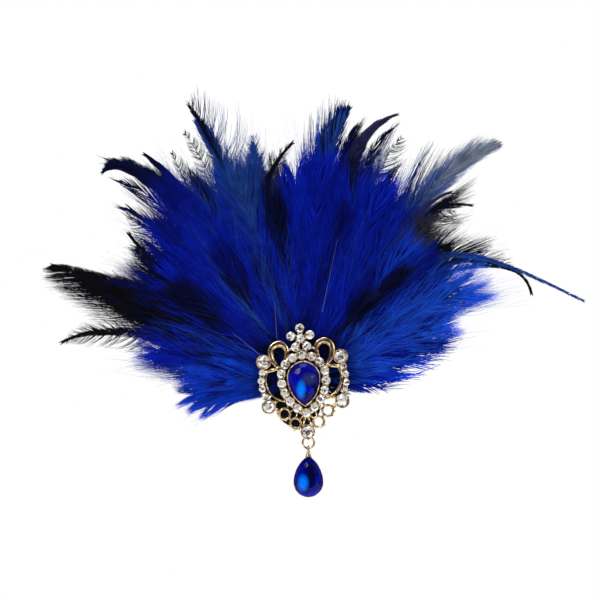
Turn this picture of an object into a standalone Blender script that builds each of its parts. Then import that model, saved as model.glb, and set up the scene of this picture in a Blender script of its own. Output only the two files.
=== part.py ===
"""Feather headpiece: a fan of dyed feathers glued to a felt pad, with a hair clip behind it and a
pierced paste brooch in front, from which a pear drop hangs on a jump ring.

Metres, +Z up. The front faces -Y. The origin lies between the jaws of the hair clip, level with
the middle of the brooch's centre stone.
"""

import math
from collections import namedtuple

import bmesh
import bpy
from mathutils import Matrix, Vector

MM = 0.001

# Hair clip, a folded spring strip that grips along Z
CLIP_LENGTH = 40 * MM
CLIP_WIDTH = 8 * MM
CLIP_STRIP = 1.0 * MM
CLIP_GAP = 1.2 * MM
CLIP_BELOW = 11 * MM

# Felt pad
PAD_WIDTH = 15.3 * MM
PAD_THICKNESS = 2.0 * MM
PAD_TOP = 17.7 * MM
PAD_BOTTOM = 15.0 * MM
PAD_SHIFT = -2.0 * MM

# Clearances
PIECE_GAP = 0.3 * MM
SEAT_GAP = 0.15 * MM
LINK_GAP = 0.15 * MM

# Quill head, where the feathers are glued together
HEAD_WIDTH = 13 * MM
HEAD_HEIGHT = 18 * MM
HEAD_THICKNESS = 3.0 * MM

# Feather fan
FAN_WIDTH = 182 * MM
FAN_HEIGHT = 95 * MM
FAN_DEPTH = 22 * MM
PLUME_WIDTH = 20 * MM
PLUME_THICKNESS_SHARE = 0.15
PLUME_SECTIONS = 8
PLUME_FLAT_SHARE = 0.3

# Centre stone and its cup
CENTRE_WIDTH = 10 * MM
CENTRE_LENGTH = 14 * MM
CENTRE_CROWN = 1.9 * MM
CENTRE_PAVILION = 2.0 * MM
CUP_WALL = 0.65 * MM
CUP_FLOOR = 0.5 * MM
CUP_LIP = 0.45 * MM

# Round stones: diameters, and the gap that stays between neighbours
HALO_DIAMETER = 2.9 * MM
ACCENT_DIAMETER = 4.2 * MM
SIDE_DIAMETER = 2.25 * MM
STONE_SPACING = 0.35 * MM
ROUND_CROWN_SHARE = 0.2
ROUND_PAVILION_SHARE = 0.3
GIRDLE = 0.2 * MM
TABLE_SHARE = 0.58
COLLET_OVERLAP = 0.15 * MM

# Brooch: where the larger stones stand from the middle of the centre stone
BROOCH_LEAN = math.radians(4.5)
UPPER_ACROSS = 12.8 * MM
UPPER_UP = 8.1 * MM
LOWER_ACROSS = 12.2 * MM
LOWER_DOWN = 6.7 * MM
FOOT_DOWN = 16.0 * MM
SIDE_BULGE = 1.6 * MM

# Scrolls, loops and lace of the casting
SCROLL_HOLE_WIDTH = 4.1 * MM
SCROLL_HOLE_LENGTH = 7.1 * MM
SCROLL_ACROSS = 7.5 * MM
SCROLL_UP = 9.3 * MM
SCROLL_HEIGHT = 1.5 * MM
SCROLL_TOP_BREADTH = 2.0 * MM
SCROLL_OUTER_BREADTH = 1.6 * MM
SCROLL_INNER_BREADTH = 1.1 * MM
SCROLL_FOOT_BREADTH = 0.8 * MM
SIDE_LOOP_RADIUS = 7.0 * MM
SIDE_LOOP_ACROSS = 5.6 * MM
SIDE_LOOP_UP = 1.5 * MM
LACE_RING_RADIUS = 1.8 * MM
LACE_WIRE = 0.3 * MM
LINK_WIRE = 0.45 * MM

# Jump ring, bail and the drop's loop
RING_RADIUS = 1.9 * MM
WIRE_RADIUS = 0.3 * MM
BAIL_RADIUS = 0.95 * MM
BAIL_SUNK = 0.35 * MM
BAIL_BEHIND = 0.2 * MM
DROP_LOOP_RADIUS = 1.0 * MM

# Drop
DROP_STONE_WIDTH = 9.1 * MM
DROP_STONE_LENGTH = 13.1 * MM
DROP_CROWN = 1.9 * MM
DROP_PAVILION = 1.7 * MM
DROP_WALL = 0.35 * MM
DROP_NECK_LENGTH = 0.9 * MM
DROP_NECK_RADIUS = 0.45 * MM

ROUND_FACETS = 8
COLLET_SIDES = 10
PEAR_FACETS = 24
WIRE_SIDES = 6
RING_SIDES = 14

# Depths, from the clip forward
CLIP_FACE_Y = -CLIP_GAP / 2 - CLIP_STRIP
PAD_BACK_Y = CLIP_FACE_Y - PIECE_GAP
PAD_FACE_Y = PAD_BACK_Y - PAD_THICKNESS
HEAD_Y = PAD_FACE_Y - PIECE_GAP - HEAD_THICKNESS / 2
BROOCH_BACK_Y = HEAD_Y - HEAD_THICKNESS / 2 - PIECE_GAP

# One row a feather. The tip stands at shares of the fan's width across and of its height up. The
# headings are degrees from +X at the root and at the tip, the breadth is a share of the plume
# width, and the depth a share of the fan's depth, forward of the head where it is positive.
Plume = namedtuple("Plume", "across up root_heading tip_heading breadth depth")
PLUMES = (
    Plume(-0.474, 0.418, 148, 171, 0.80, -0.20),
    Plume(-0.450, 0.134, 162, 193, 0.40, 0.10),
    Plume(-0.377, 0.737, 115, 228, 0.60, -0.35),
    Plume(-0.300, 0.812, 119, 152, 0.60, -0.30),
    Plume(-0.218, 1.000, 108, 131, 0.60, 0.10),
    Plume(-0.230, 0.905, 118, 131, 0.40, -0.30),
    Plume(-0.095, 0.880, 106, 96, 0.60, 0.05),
    Plume(-0.011, 0.853, 100, 52, 0.45, 0.30),
    Plume(0.088, 0.976, 86, 49, 0.70, -0.15),
    Plume(0.176, 0.940, 76, 31, 0.60, 0.20),
    Plume(0.364, 0.850, 61, 10, 0.42, -0.10),
    Plume(0.273, 0.666, 56, 5, 0.50, 0.35),
    Plume(0.326, 0.624, 50, 5, 0.55, -0.35),
    Plume(0.524, 0.281, 54, -29, 0.25, 0.00),
    Plume(0.422, 0.292, 48, -62, 0.40, -0.25),
    Plume(0.275, 0.165, 20, -15, 0.75, 0.15),
    Plume(0.222, 0.120, 12, -25, 0.70, -0.30),
    Plume(0.166, 0.045, 4, -30, 0.60, -0.10),
    Plume(0.112, -0.020, -4, -40, 0.35, 0.00),
    Plume(-0.110, 0.025, 184, 205, 0.40, -0.05),
    Plume(-0.150, -0.035, 184, 225, 0.40, -0.15),
    Plume(-0.178, -0.095, 172, 240, 0.42, 0.05),
    Plume(-0.215, -0.050, 178, 215, 0.60, -0.20),
    Plume(-0.290, 0.090, 168, 180, 0.90, 0.25),
    Plume(-0.335, 0.290, 156, 160, 0.95, 0.20),
    Plume(-0.335, 0.430, 146, 150, 0.90, -0.30),
    Plume(-0.290, 0.600, 134, 138, 0.95, 0.25),
    Plume(-0.200, 0.740, 120, 118, 0.90, -0.25),
    Plume(-0.130, 0.800, 108, 106, 0.85, 0.35),
    Plume(-0.060, 0.740, 98, 96, 0.80, -0.40),
    Plume(0.030, 0.820, 90, 84, 0.90, 0.25),
    Plume(0.110, 0.870, 80, 70, 0.90, -0.30),
    Plume(0.165, 0.740, 70, 60, 0.90, 0.40),
    Plume(0.225, 0.690, 60, 46, 0.95, -0.20),
    Plume(0.260, 0.520, 48, 38, 0.95, 0.35),
    Plume(0.310, 0.380, 36, 22, 1.00, -0.30),
    Plume(0.316, 0.285, 27, 8, 0.85, 0.35),
)


def clear_scene():
    for item in list(bpy.data.objects):
        bpy.data.objects.remove(item, do_unlink=True)


def material(name, colour, roughness, metallic=0.0, transmission=0.0):
    result = bpy.data.materials.new(name)
    result.use_nodes = True
    shader = result.node_tree.nodes["Principled BSDF"]
    shader.inputs["Base Color"].default_value = (*colour, 1.0)
    shader.inputs["Roughness"].default_value = roughness
    shader.inputs["Metallic"].default_value = metallic
    shader.inputs["Transmission Weight"].default_value = transmission
    result.diffuse_color = (*colour, 1.0)
    return result


def add_object(name, data, group, parent=None, location=(0, 0, 0)):
    item = bpy.data.objects.new(name, data)
    group.objects.link(item)
    item.parent = parent
    item.location = location
    return item


def add_empty(name, group, location, rotation=(0, 0, 0), parent=None):
    item = add_object(name, None, group, parent, location)
    item.rotation_euler = rotation
    item.empty_display_size = 5 * MM
    return item


def finish(item, surface):
    item.data.materials.clear()
    item.data.materials.append(surface)
    return item


def mesh_from_bmesh(name, shape):
    bmesh.ops.recalc_face_normals(shape, faces=shape.faces)
    mesh = bpy.data.meshes.new(name)
    shape.to_mesh(mesh)
    shape.free()
    return mesh


def frozen(item):
    """Replace an object by one whose mesh is what its curve or modifiers make."""
    bpy.context.view_layer.update()
    depsgraph = bpy.context.evaluated_depsgraph_get()
    mesh = bpy.data.meshes.new_from_object(item.evaluated_get(depsgraph))
    shape = bmesh.new()
    shape.from_mesh(mesh)
    bmesh.ops.remove_doubles(shape, verts=shape.verts, dist=0.001 * MM)
    bmesh.ops.recalc_face_normals(shape, faces=shape.faces)
    shape.to_mesh(mesh)
    shape.free()
    name = item.name
    group = item.users_collection[0]
    place = item.matrix_local.copy()
    parent = item.parent
    bpy.data.objects.remove(item, do_unlink=True)
    result = add_object(name, mesh, group, parent)
    result.matrix_local = place
    return result


def joined(item, guides):
    """Union an object with every object of a collection, and remove those guides."""
    union = item.modifiers.new("union", "BOOLEAN")
    union.operation = "UNION"
    union.operand_type = "COLLECTION"
    union.collection = guides
    union.solver = "EXACT"
    return without_guides(item, guides)


def cut(item, guides):
    """Cut an object by every object of a collection, and remove those guides."""
    difference = item.modifiers.new("cut", "BOOLEAN")
    difference.operation = "DIFFERENCE"
    difference.operand_type = "COLLECTION"
    difference.collection = guides
    difference.solver = "EXACT"
    return without_guides(item, guides)


def without_guides(item, guides):
    result = frozen(item)
    for guide in list(guides.objects):
        bpy.data.objects.remove(guide, do_unlink=True)
    bpy.data.collections.remove(guides)
    return result


def guide_collection(name):
    group = bpy.data.collections.new(name)
    bpy.context.scene.collection.children.link(group)
    return group


def turned_mesh(name, profile, sides):
    """A solid turned about Z from (radius, height) points, from the axis at the top down."""
    shape = bmesh.new()
    points = [shape.verts.new((radius, 0, height)) for radius, height in profile]
    for upper, lower in zip(points, points[1:]):
        shape.edges.new((upper, lower))
    bmesh.ops.spin(shape, geom=shape.verts[:] + shape.edges[:], cent=(0, 0, 0), axis=(0, 0, 1),
                   angle=2 * math.pi, steps=sides, use_merge=True, use_duplicate=False)
    bmesh.ops.remove_doubles(shape, verts=shape.verts, dist=0.001 * MM)
    return mesh_from_bmesh(name, shape)


def lofted_mesh(name, sections):
    """A solid through rings that have the same number of points."""
    shape = bmesh.new()
    rings = [[shape.verts.new(point) for point in section] for section in sections]
    for ring, following in zip(rings, rings[1:]):
        count = len(ring)
        for index in range(count):
            after = (index + 1) % count
            shape.faces.new((ring[index], ring[after], following[after], following[index]))
    shape.faces.new(list(reversed(rings[0])))
    shape.faces.new(rings[-1])
    return mesh_from_bmesh(name, shape)


def curve_path(name, points, cyclic=False, radii=None, depth=1.0, resolution=1):
    curve = bpy.data.curves.new(name, "CURVE")
    curve.dimensions = "3D"
    curve.twist_mode = "Z_UP"
    curve.bevel_depth = depth
    curve.bevel_resolution = resolution
    curve.use_fill_caps = True
    spline = curve.splines.new("POLY")
    spline.points.add(len(points) - 1)
    spline.use_cyclic_u = cyclic
    for index, point in enumerate(points):
        spline.points[index].co = (*point, 1.0)
        if radii:
            spline.points[index].radius = radii[index]
    return curve


def flat_outline(name, points, thickness):
    curve = bpy.data.curves.new(name, "CURVE")
    curve.dimensions = "2D"
    curve.fill_mode = "BOTH"
    curve.extrude = thickness / 2
    spline = curve.splines.new("POLY")
    spline.points.add(len(points) - 1)
    spline.use_cyclic_u = True
    for index, point in enumerate(points):
        spline.points[index].co = (*point, 0.0, 1.0)
    return curve


def arc_points(centre, radius, start, end, steps):
    """Points on an arc between two angles in degrees."""
    result = []
    for step in range(steps + 1):
        angle = math.radians(start + (end - start) * step / steps)
        result.append((centre[0] + radius * math.cos(angle), centre[1] + radius * math.sin(angle)))
    return result


class Pear:
    """A pear outline, round at the top and pointed below: one top arc and two flatter side arcs."""

    def __init__(self, width, length, offset=0.0):
        half = width / 2
        drop = length - half
        self.centre_up = length / 2 - half
        side = (drop * drop + half * half) / (2 * half)
        self.inset = side - half
        self.top_radius = half + offset
        self.side_radius = side + offset
        self.side_angle = math.acos(self.inset / self.side_radius)
        self.top_length = math.pi / 2 * self.top_radius
        self.half_length = self.top_length + self.side_angle * self.side_radius
        self.perimeter = 2 * self.half_length

    def at(self, distance):
        """The point that lies this far clockwise from the top, and the outward direction."""
        distance = distance % self.perimeter
        if distance > self.half_length:
            point, outward = self.at(self.perimeter - distance)
            return (-point[0], point[1]), (-outward[0], outward[1])
        if distance < self.top_length:
            angle = distance / self.top_radius
            outward = (math.sin(angle), math.cos(angle))
            return (outward[0] * self.top_radius, self.centre_up + outward[1] * self.top_radius), outward
        angle = (distance - self.top_length) / self.side_radius
        outward = (math.cos(angle), -math.sin(angle))
        across = outward[0] * self.side_radius - self.inset
        return (across, self.centre_up + outward[1] * self.side_radius), outward

    def ring(self, count):
        return [self.at(self.perimeter * index / count)[0] for index in range(count)]


def pear_section(width, length, offset, height, count=PEAR_FACETS):
    return [(across, up, height) for across, up in Pear(width, length, offset).ring(count)]


def scaled_section(section, share, height):
    return [(across * share, up * share, height) for across, up, _ in section]


def pear_stone_mesh(name, width, length, crown, pavilion):
    """A cut pear with its girdle at height 0: table, two crown steps, girdle, two pavilion steps."""
    girdle = pear_section(width, length, 0, 0)
    return lofted_mesh(name, [
        scaled_section(girdle, 0.12, -pavilion),
        scaled_section(girdle, 0.62, -0.55 * pavilion),
        scaled_section(girdle, 1.0, -GIRDLE / 2),
        scaled_section(girdle, 1.0, GIRDLE / 2),
        scaled_section(girdle, 0.84, 0.55 * crown),
        scaled_section(girdle, TABLE_SHARE, crown),
    ])


def round_stone_mesh(name, diameter):
    """A cut round stone with its girdle at height 0."""
    radius = diameter / 2
    crown = ROUND_CROWN_SHARE * diameter
    pavilion = ROUND_PAVILION_SHARE * diameter
    return turned_mesh(name, [
        (0, crown), (TABLE_SHARE * radius, crown), (radius, GIRDLE / 2), (radius, -GIRDLE / 2), (0, -pavilion),
    ], ROUND_FACETS)


def girdle_height(diameter):
    """How far in front of the casting's back a round stone's girdle sits."""
    return CUP_FLOOR + SEAT_GAP + ROUND_PAVILION_SHARE * diameter


Setting = namedtuple("Setting", "name across up diameter walled")


def halo_settings():
    """Stones on the pear's outline, pushed out past the centre cup's wall."""
    offset = SEAT_GAP + CUP_WALL + HALO_DIAMETER / 2 + STONE_SPACING / 2
    path = Pear(CENTRE_WIDTH, CENTRE_LENGTH, offset)
    count = int(path.perimeter / (HALO_DIAMETER + STONE_SPACING))
    count -= count % 2
    result = []
    for index in range(count):
        (across, up), _ = path.at(path.perimeter * index / count)
        result.append(Setting(f"halo_stone_{index + 1:02d}", across, up, HALO_DIAMETER, False))
    return result


# Crown stones from the top halo stone, in shares of the spacing between two stones
CrownPlace = namedtuple("CrownPlace", "across up")
CROWN = (
    CrownPlace(-0.58, 0.87),
    CrownPlace(0.58, 0.87),
    CrownPlace(0.00, 1.73),
    CrownPlace(-0.97, 2.01),
    CrownPlace(0.97, 2.01),
    CrownPlace(0.00, 2.76),
)


def crown_settings(top_up):
    pitch = HALO_DIAMETER + STONE_SPACING
    result = []
    for index, place in enumerate(CROWN):
        across = place.across * pitch
        up = top_up + place.up * pitch
        result.append(Setting(f"crown_stone_{index + 1}", across, up, HALO_DIAMETER, False))
    return result


def accent_settings():
    places = (
        (-UPPER_ACROSS, UPPER_UP),
        (UPPER_ACROSS, UPPER_UP),
        (-LOWER_ACROSS, -LOWER_DOWN),
        (LOWER_ACROSS, -LOWER_DOWN),
        (0, -FOOT_DOWN),
    )
    return [Setting(f"accent_stone_{index + 1}", across, up, ACCENT_DIAMETER, True)
            for index, (across, up) in enumerate(places)]


def side_settings():
    """Small stones evenly spaced on the arc that bulges between the two accents of a side."""
    upper = Vector((UPPER_ACROSS, UPPER_UP))
    lower = Vector((LOWER_ACROSS, -LOWER_DOWN))
    chord = (lower - upper).length
    outward = Vector((-(lower - upper).y, (lower - upper).x)).normalized()
    room = chord - ACCENT_DIAMETER
    count = max(1, int(room / (SIDE_DIAMETER + 0.5 * STONE_SPACING) + 0.05))
    places = []
    for index in range(count):
        share = (ACCENT_DIAMETER / 2 + room * (index + 0.5) / count) / chord
        bulge = SIDE_BULGE * math.sin(math.pi * share) ** 1.6
        places.append(upper.lerp(lower, share) + outward * bulge)
    result = []
    for side in (-1, 1):
        for place in places:
            name = f"side_stone_{len(result) + 1}"
            result.append(Setting(name, side * place.x, place.y, SIDE_DIAMETER, False))
    return result


def collet(setting, guides):
    """The plain cup under a round stone. A walled one rises past the girdle as a bezel."""
    height = girdle_height(setting.diameter) - GIRDLE / 2 - SEAT_GAP
    if setting.walled:
        height = girdle_height(setting.diameter) + GIRDLE / 2 + SEAT_GAP
    radius = (setting.diameter / 2 + STONE_SPACING / 2 + COLLET_OVERLAP) / math.cos(math.pi / COLLET_SIDES)
    mesh = turned_mesh("collet", [(0, height), (radius, height), (radius, 0), (0, 0)], COLLET_SIDES)
    return add_object("collet", mesh, guides, location=(setting.across, setting.up, 0))


def seat(setting, guides):
    """The cutter for a round stone's seat: its pavilion with the seat gap around it, open above."""
    radius = setting.diameter / 2 + SEAT_GAP
    depth = ROUND_PAVILION_SHARE * setting.diameter + SEAT_GAP
    shoulder = -GIRDLE / 2 - SEAT_GAP
    profile = [(0, depth), (radius, depth), (radius, shoulder), (0, -depth)]
    mesh = turned_mesh("seat", profile, COLLET_SIDES)
    place = (setting.across, setting.up, girdle_height(setting.diameter))
    return add_object("seat", mesh, guides, location=place)


def wire(name, points, radius, guides, height):
    """A round wire through points of the brooch's plane, its middle at this height."""
    path = curve_path(name, [(across, up, height) for across, up in points], depth=radius)
    return frozen(add_object(name, path, guides))


def link(name, start, end, radius, guides):
    """A thick straight wire from one place of the casting to another."""
    return wire(name, [start, end], radius, guides, radius)


def scroll_breadth(turn):
    """How broad a scroll is at this angle round its hole, clockwise from the top."""
    upright = SCROLL_TOP_BREADTH if math.cos(turn) > 0 else SCROLL_FOOT_BREADTH
    sideways = SCROLL_OUTER_BREADTH if math.sin(turn) > 0 else SCROLL_INNER_BREADTH
    return upright * math.cos(turn) ** 2 + sideways * math.sin(turn) ** 2


def scroll(side, guides):
    """A domed comma round a pear-shaped hole, broad at its top, narrow on its inner side."""
    steps = 20
    hole = Pear(SCROLL_HOLE_WIDTH, SCROLL_HOLE_LENGTH)
    points = []
    radii = []
    for index in range(steps):
        half = scroll_breadth(2 * math.pi * index / steps) / 2
        (across, up), outward = hole.at(hole.perimeter * index / steps)
        points.append((side * (across + outward[0] * half), up + outward[1] * half, 0))
        radii.append(half)
    item = add_object("scroll", curve_path("scroll", points, True, radii, 1.0, 1), guides)
    item.location = (side * SCROLL_ACROSS, SCROLL_UP, SCROLL_HEIGHT / 2)
    item = frozen(item)
    for vertex in item.data.vertices:
        vertex.co.z *= SCROLL_HEIGHT / SCROLL_TOP_BREADTH
    return item


def torus(name, radius, wire_radius, group, place, upright=True):
    """A wire ring. An upright one lies in the plane across X, with its hole along X."""
    points = arc_points((0, 0), radius, 0, 360 * (RING_SIDES - 1) / RING_SIDES, RING_SIDES - 1)
    path = curve_path(name, [(across, up, 0) for across, up in points], True, depth=wire_radius)
    item = add_object(name, path, group, location=place)
    if upright:
        item.rotation_euler = (math.pi / 2, 0, math.pi / 2)
    return frozen(item)


def centre_cup(guides):
    """The centre stone's cup, with a closed floor."""
    rim = CENTRE_PAVILION + CUP_FLOOR + SEAT_GAP + CUP_LIP
    outer = SEAT_GAP + CUP_WALL
    mesh = lofted_mesh("centre_cup", [
        pear_section(CENTRE_WIDTH, CENTRE_LENGTH, outer, 0),
        pear_section(CENTRE_WIDTH, CENTRE_LENGTH, outer, rim),
    ])
    return add_object("centre_cup", mesh, guides)


def pear_seat(name, width, length, pavilion, floor, guides, place=(0, 0, 0)):
    """The cutter for a pear stone's seat: a hollow that narrows to the floor."""
    girdle = pear_section(width, length, SEAT_GAP, 0)
    level = floor + SEAT_GAP + pavilion
    mesh = lofted_mesh(name, [
        scaled_section(girdle, 0.15, floor),
        scaled_section(girdle, 0.68, floor + 0.40 * pavilion),
        [(across, up, level - GIRDLE / 2 - SEAT_GAP) for across, up, _ in girdle],
        [(across, up, level + 2 * pavilion) for across, up, _ in girdle],
    ])
    return add_object(name, mesh, guides, location=place)


def nearest(settings, place):
    return min(settings, key=lambda item: math.dist((item.across, item.up), place))


def lace_centre(side, along, inset):
    """A lace ring's centre, at a share of the line from the lower accent to the foot accent."""
    lower = Vector((LOWER_ACROSS, -LOWER_DOWN))
    foot = Vector((0, -FOOT_DOWN))
    line = foot - lower
    inward = Vector((line.y, -line.x)).normalized()
    place = lower + line * along + inward * inset * LACE_RING_RADIUS
    return side * place.x, place.y


# Lace rings: how far along from the lower accent to the foot, and inset in ring radii
LaceRing = namedtuple("LaceRing", "along inset")
LACE = (LaceRing(0.375, 0.42), LaceRing(0.685, 0.0))


def add_links(settings, guides):
    """The short wires and gussets that carry scrolls, loops and lace from cup to cup."""
    halo = [item for item in settings if item.name.startswith("halo")]
    crown = [item for item in settings if item.name.startswith("crown")]
    small = [item for item in settings if item.name.startswith("side")]
    foot = (0, -FOOT_DOWN)
    for side in (-1, 1):
        lower = (side * LOWER_ACROSS, -LOWER_DOWN)
        scroll_foot = (side * SCROLL_ACROSS, SCROLL_UP - 0.45 * SCROLL_HOLE_LENGTH)
        scroll_foot = (scroll_foot[0], scroll_foot[1] - LINK_WIRE)
        scroll_side = (side * (SCROLL_ACROSS - 0.6 * SCROLL_HOLE_WIDTH), SCROLL_UP + 0.45 * SCROLL_HOLE_WIDTH)
        chain = [(item.across, item.up) for item in small if item.across * side > 0]
        chain = [(side * UPPER_ACROSS, UPPER_UP), *chain, lower]
        wire("side_chain", chain, LINK_WIRE, guides, LINK_WIRE)
        first = nearest(small, (side * UPPER_ACROSS, UPPER_UP))
        link("link", scroll_foot, (first.across, first.up), 1.6 * LINK_WIRE, guides)
        near = nearest(halo, scroll_foot)
        link("link", scroll_foot, (near.across, near.up), 1.3 * LINK_WIRE, guides)
        near = nearest(crown, scroll_side)
        link("link", scroll_side, (near.across, near.up), LINK_WIRE, guides)
        outer = lace_centre(side, *LACE[0])
        inner = lace_centre(side, *LACE[1])
        for centre in (outer, inner):
            torus("lace_ring", LACE_RING_RADIUS, LACE_WIRE, guides, (*centre, LACE_WIRE), upright=False)
            near = nearest(halo, centre)
            edge_link(centre, (near.across, near.up), LACE_WIRE, guides)
        edge_link(outer, lower, 1.6 * LINK_WIRE, guides)
        edge_link(outer, inner, LINK_WIRE, guides, both=True)
        edge_link(inner, foot, LINK_WIRE, guides)
        loop_centre = (side * SIDE_LOOP_ACROSS, SIDE_LOOP_UP)
        start, end = (25, -80) if side > 0 else (155, 260)
        points = arc_points(loop_centre, SIDE_LOOP_RADIUS, start, end, 12)
        wire("side_loop", points, LACE_WIRE * 1.3, guides, LINK_WIRE)
        link("gusset", points[8], lower, 1.5 * LINK_WIRE, guides)
        bottom = nearest(halo, foot)
        foot_edge = (side * 0.3 * ACCENT_DIAMETER, -FOOT_DOWN + 0.5 * ACCENT_DIAMETER)
        link("foot_link", (bottom.across, bottom.up - 0.4 * HALO_DIAMETER), foot_edge, LACE_WIRE, guides)


def edge_link(ring_centre, target, radius, guides, both=False):
    """A wire from a lace ring's edge to a cup, or to the next ring's edge."""
    start = Vector(ring_centre)
    end = Vector(target)
    step = (end - start).normalized() * LACE_RING_RADIUS
    link("link", tuple(start + step), tuple(end - step if both else end), radius, guides)


def brooch_frame(settings, place, group, gold):
    """The casting: cups, scrolls, loops, lace and bail in one solid, with the stones' seats cut."""
    solids = guide_collection("frame_solids")
    for setting in settings:
        collet(setting, solids)
    for side in (-1, 1):
        scroll(side, solids)
    add_links(settings, solids)
    torus("bail", BAIL_RADIUS, WIRE_RADIUS, solids, (0, bail_up(), bail_height()))
    cup = centre_cup(solids)
    solids.objects.unlink(cup)
    group.objects.link(cup)
    frame = joined(cup, solids)
    seats = guide_collection("seats")
    for setting in settings:
        seat(setting, seats)
    pear_seat("centre_seat", CENTRE_WIDTH, CENTRE_LENGTH, CENTRE_PAVILION, CUP_FLOOR, seats)
    frame = cut(frame, seats)
    frame.name = "brooch_frame"
    frame.parent = place
    return finish(frame, gold)


def bail_up():
    return -FOOT_DOWN - ACCENT_DIAMETER / 2 + BAIL_SUNK


def bail_height():
    """The bail's middle stands behind the casting, so that the jump ring clears its back."""
    return -WIRE_RADIUS - BAIL_BEHIND


def add_brooch(group, gold, clear_glass, blue_glass):
    place = add_empty("brooch_place", group, (0, BROOCH_BACK_Y, 0), (math.pi / 2, -BROOCH_LEAN, 0))
    halo = halo_settings()
    settings = halo + crown_settings(halo[0].up) + accent_settings() + side_settings()
    brooch_frame(settings, place, group, gold)
    meshes = {}
    for setting in settings:
        if setting.diameter not in meshes:
            meshes[setting.diameter] = round_stone_mesh(setting.name, setting.diameter)
        seat_place = (setting.across, setting.up, girdle_height(setting.diameter))
        stone = add_object(setting.name, meshes[setting.diameter], group, place, seat_place)
        finish(stone, clear_glass)
    mesh = pear_stone_mesh("centre_stone", CENTRE_WIDTH, CENTRE_LENGTH, CENTRE_CROWN, CENTRE_PAVILION)
    seat_place = (0, 0, CUP_FLOOR + SEAT_GAP + CENTRE_PAVILION)
    finish(add_object("centre_stone", mesh, group, place, seat_place), blue_glass)
    return place


def add_drop(group, brooch, gold, blue_glass):
    """The jump ring swings on the bail's lower wire, and the drop on the ring's lowest point."""
    bpy.context.view_layer.update()
    reach = 2 * WIRE_RADIUS + LINK_GAP
    ring_pivot = brooch.matrix_world @ Vector((0, bail_up() - BAIL_RADIUS, bail_height()))
    swing = add_empty("ring_swing", group, ring_pivot)
    ring = torus("jump_ring", RING_RADIUS, WIRE_RADIUS, group, (0, 0, 0), upright=False)
    ring.rotation_euler = (math.pi / 2, 0, 0)
    ring.location = (0, 0, -(RING_RADIUS - reach))
    ring.parent = swing
    finish(ring, gold)
    drop_swing = add_empty("drop_swing", group, (0, 0, reach - 2 * RING_RADIUS), parent=swing)

    outer = SEAT_GAP + DROP_WALL
    length = DROP_STONE_LENGTH + 2 * outer
    loop_up = reach - DROP_LOOP_RADIUS
    neck_up = loop_up - DROP_LOOP_RADIUS
    middle_up = neck_up - DROP_NECK_LENGTH - length / 2
    rim = DROP_PAVILION + CUP_FLOOR + SEAT_GAP + CUP_LIP
    balance = 0.5 * rim

    # The drop hangs by the pear's point, so its own frame is turned over
    solids = guide_collection("drop_solids")
    torus("drop_loop", DROP_LOOP_RADIUS, WIRE_RADIUS, solids, (0, middle_up - loop_up, balance))
    neck = [(0, middle_up - neck_up, balance), (0, 4 * DROP_NECK_RADIUS - length / 2, balance)]
    path = curve_path("neck", neck, depth=DROP_NECK_RADIUS)
    frozen(add_object("neck", path, solids))
    cup = lofted_mesh("drop_setting", [
        pear_section(DROP_STONE_WIDTH, DROP_STONE_LENGTH, outer, 0),
        pear_section(DROP_STONE_WIDTH, DROP_STONE_LENGTH, outer, rim),
    ])
    setting = joined(add_object("drop_setting", cup, group), solids)
    seats = guide_collection("drop_seat")
    pear_seat("drop_seat", DROP_STONE_WIDTH, DROP_STONE_LENGTH, DROP_PAVILION, CUP_FLOOR, seats)
    setting = cut(setting, seats)
    stone_mesh = pear_stone_mesh("drop_stone", DROP_STONE_WIDTH, DROP_STONE_LENGTH, DROP_CROWN, DROP_PAVILION)
    stone = add_object("drop_stone", stone_mesh, group)
    place = add_empty("drop_place", group, (0, balance, middle_up), (math.pi / 2, math.pi, 0), drop_swing)
    setting.parent = place
    stone.parent = place
    stone.location = (0, 0, CUP_FLOOR + SEAT_GAP + DROP_PAVILION)
    finish(setting, gold)
    finish(stone, blue_glass)


def add_pad(group, felt):
    radius = PAD_WIDTH / 2
    points = arc_points((0, PAD_TOP - radius), radius, 0, 180, 12)
    points += arc_points((0, radius - PAD_BOTTOM), radius, 180, 360, 12)
    pad = add_object("felt_pad", flat_outline("felt_pad", points, PAD_THICKNESS), group)
    pad.location = (PAD_SHIFT, (PAD_BACK_Y + PAD_FACE_Y) / 2, 0)
    pad.rotation_euler = (math.pi / 2, 0, 0)
    finish(frozen(pad), felt)


def add_clip(group, steel):
    """A strip folded over at the top, with its two jaws open below."""
    outer = CLIP_GAP / 2 + CLIP_STRIP
    bend_up = CLIP_LENGTH - CLIP_BELOW - outer
    points = [(outer, -CLIP_BELOW)]
    points += arc_points((0, bend_up), outer, 0, 180, 10)
    points += [(-outer, -CLIP_BELOW), (-CLIP_GAP / 2, -CLIP_BELOW)]
    points += arc_points((0, bend_up), CLIP_GAP / 2, 180, 0, 10)
    points.append((CLIP_GAP / 2, -CLIP_BELOW))
    clip = add_object("hair_clip", flat_outline("hair_clip", points, CLIP_WIDTH), group)
    clip.rotation_euler = (math.pi / 2, 0, math.pi / 2)
    finish(frozen(clip), steel)


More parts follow.
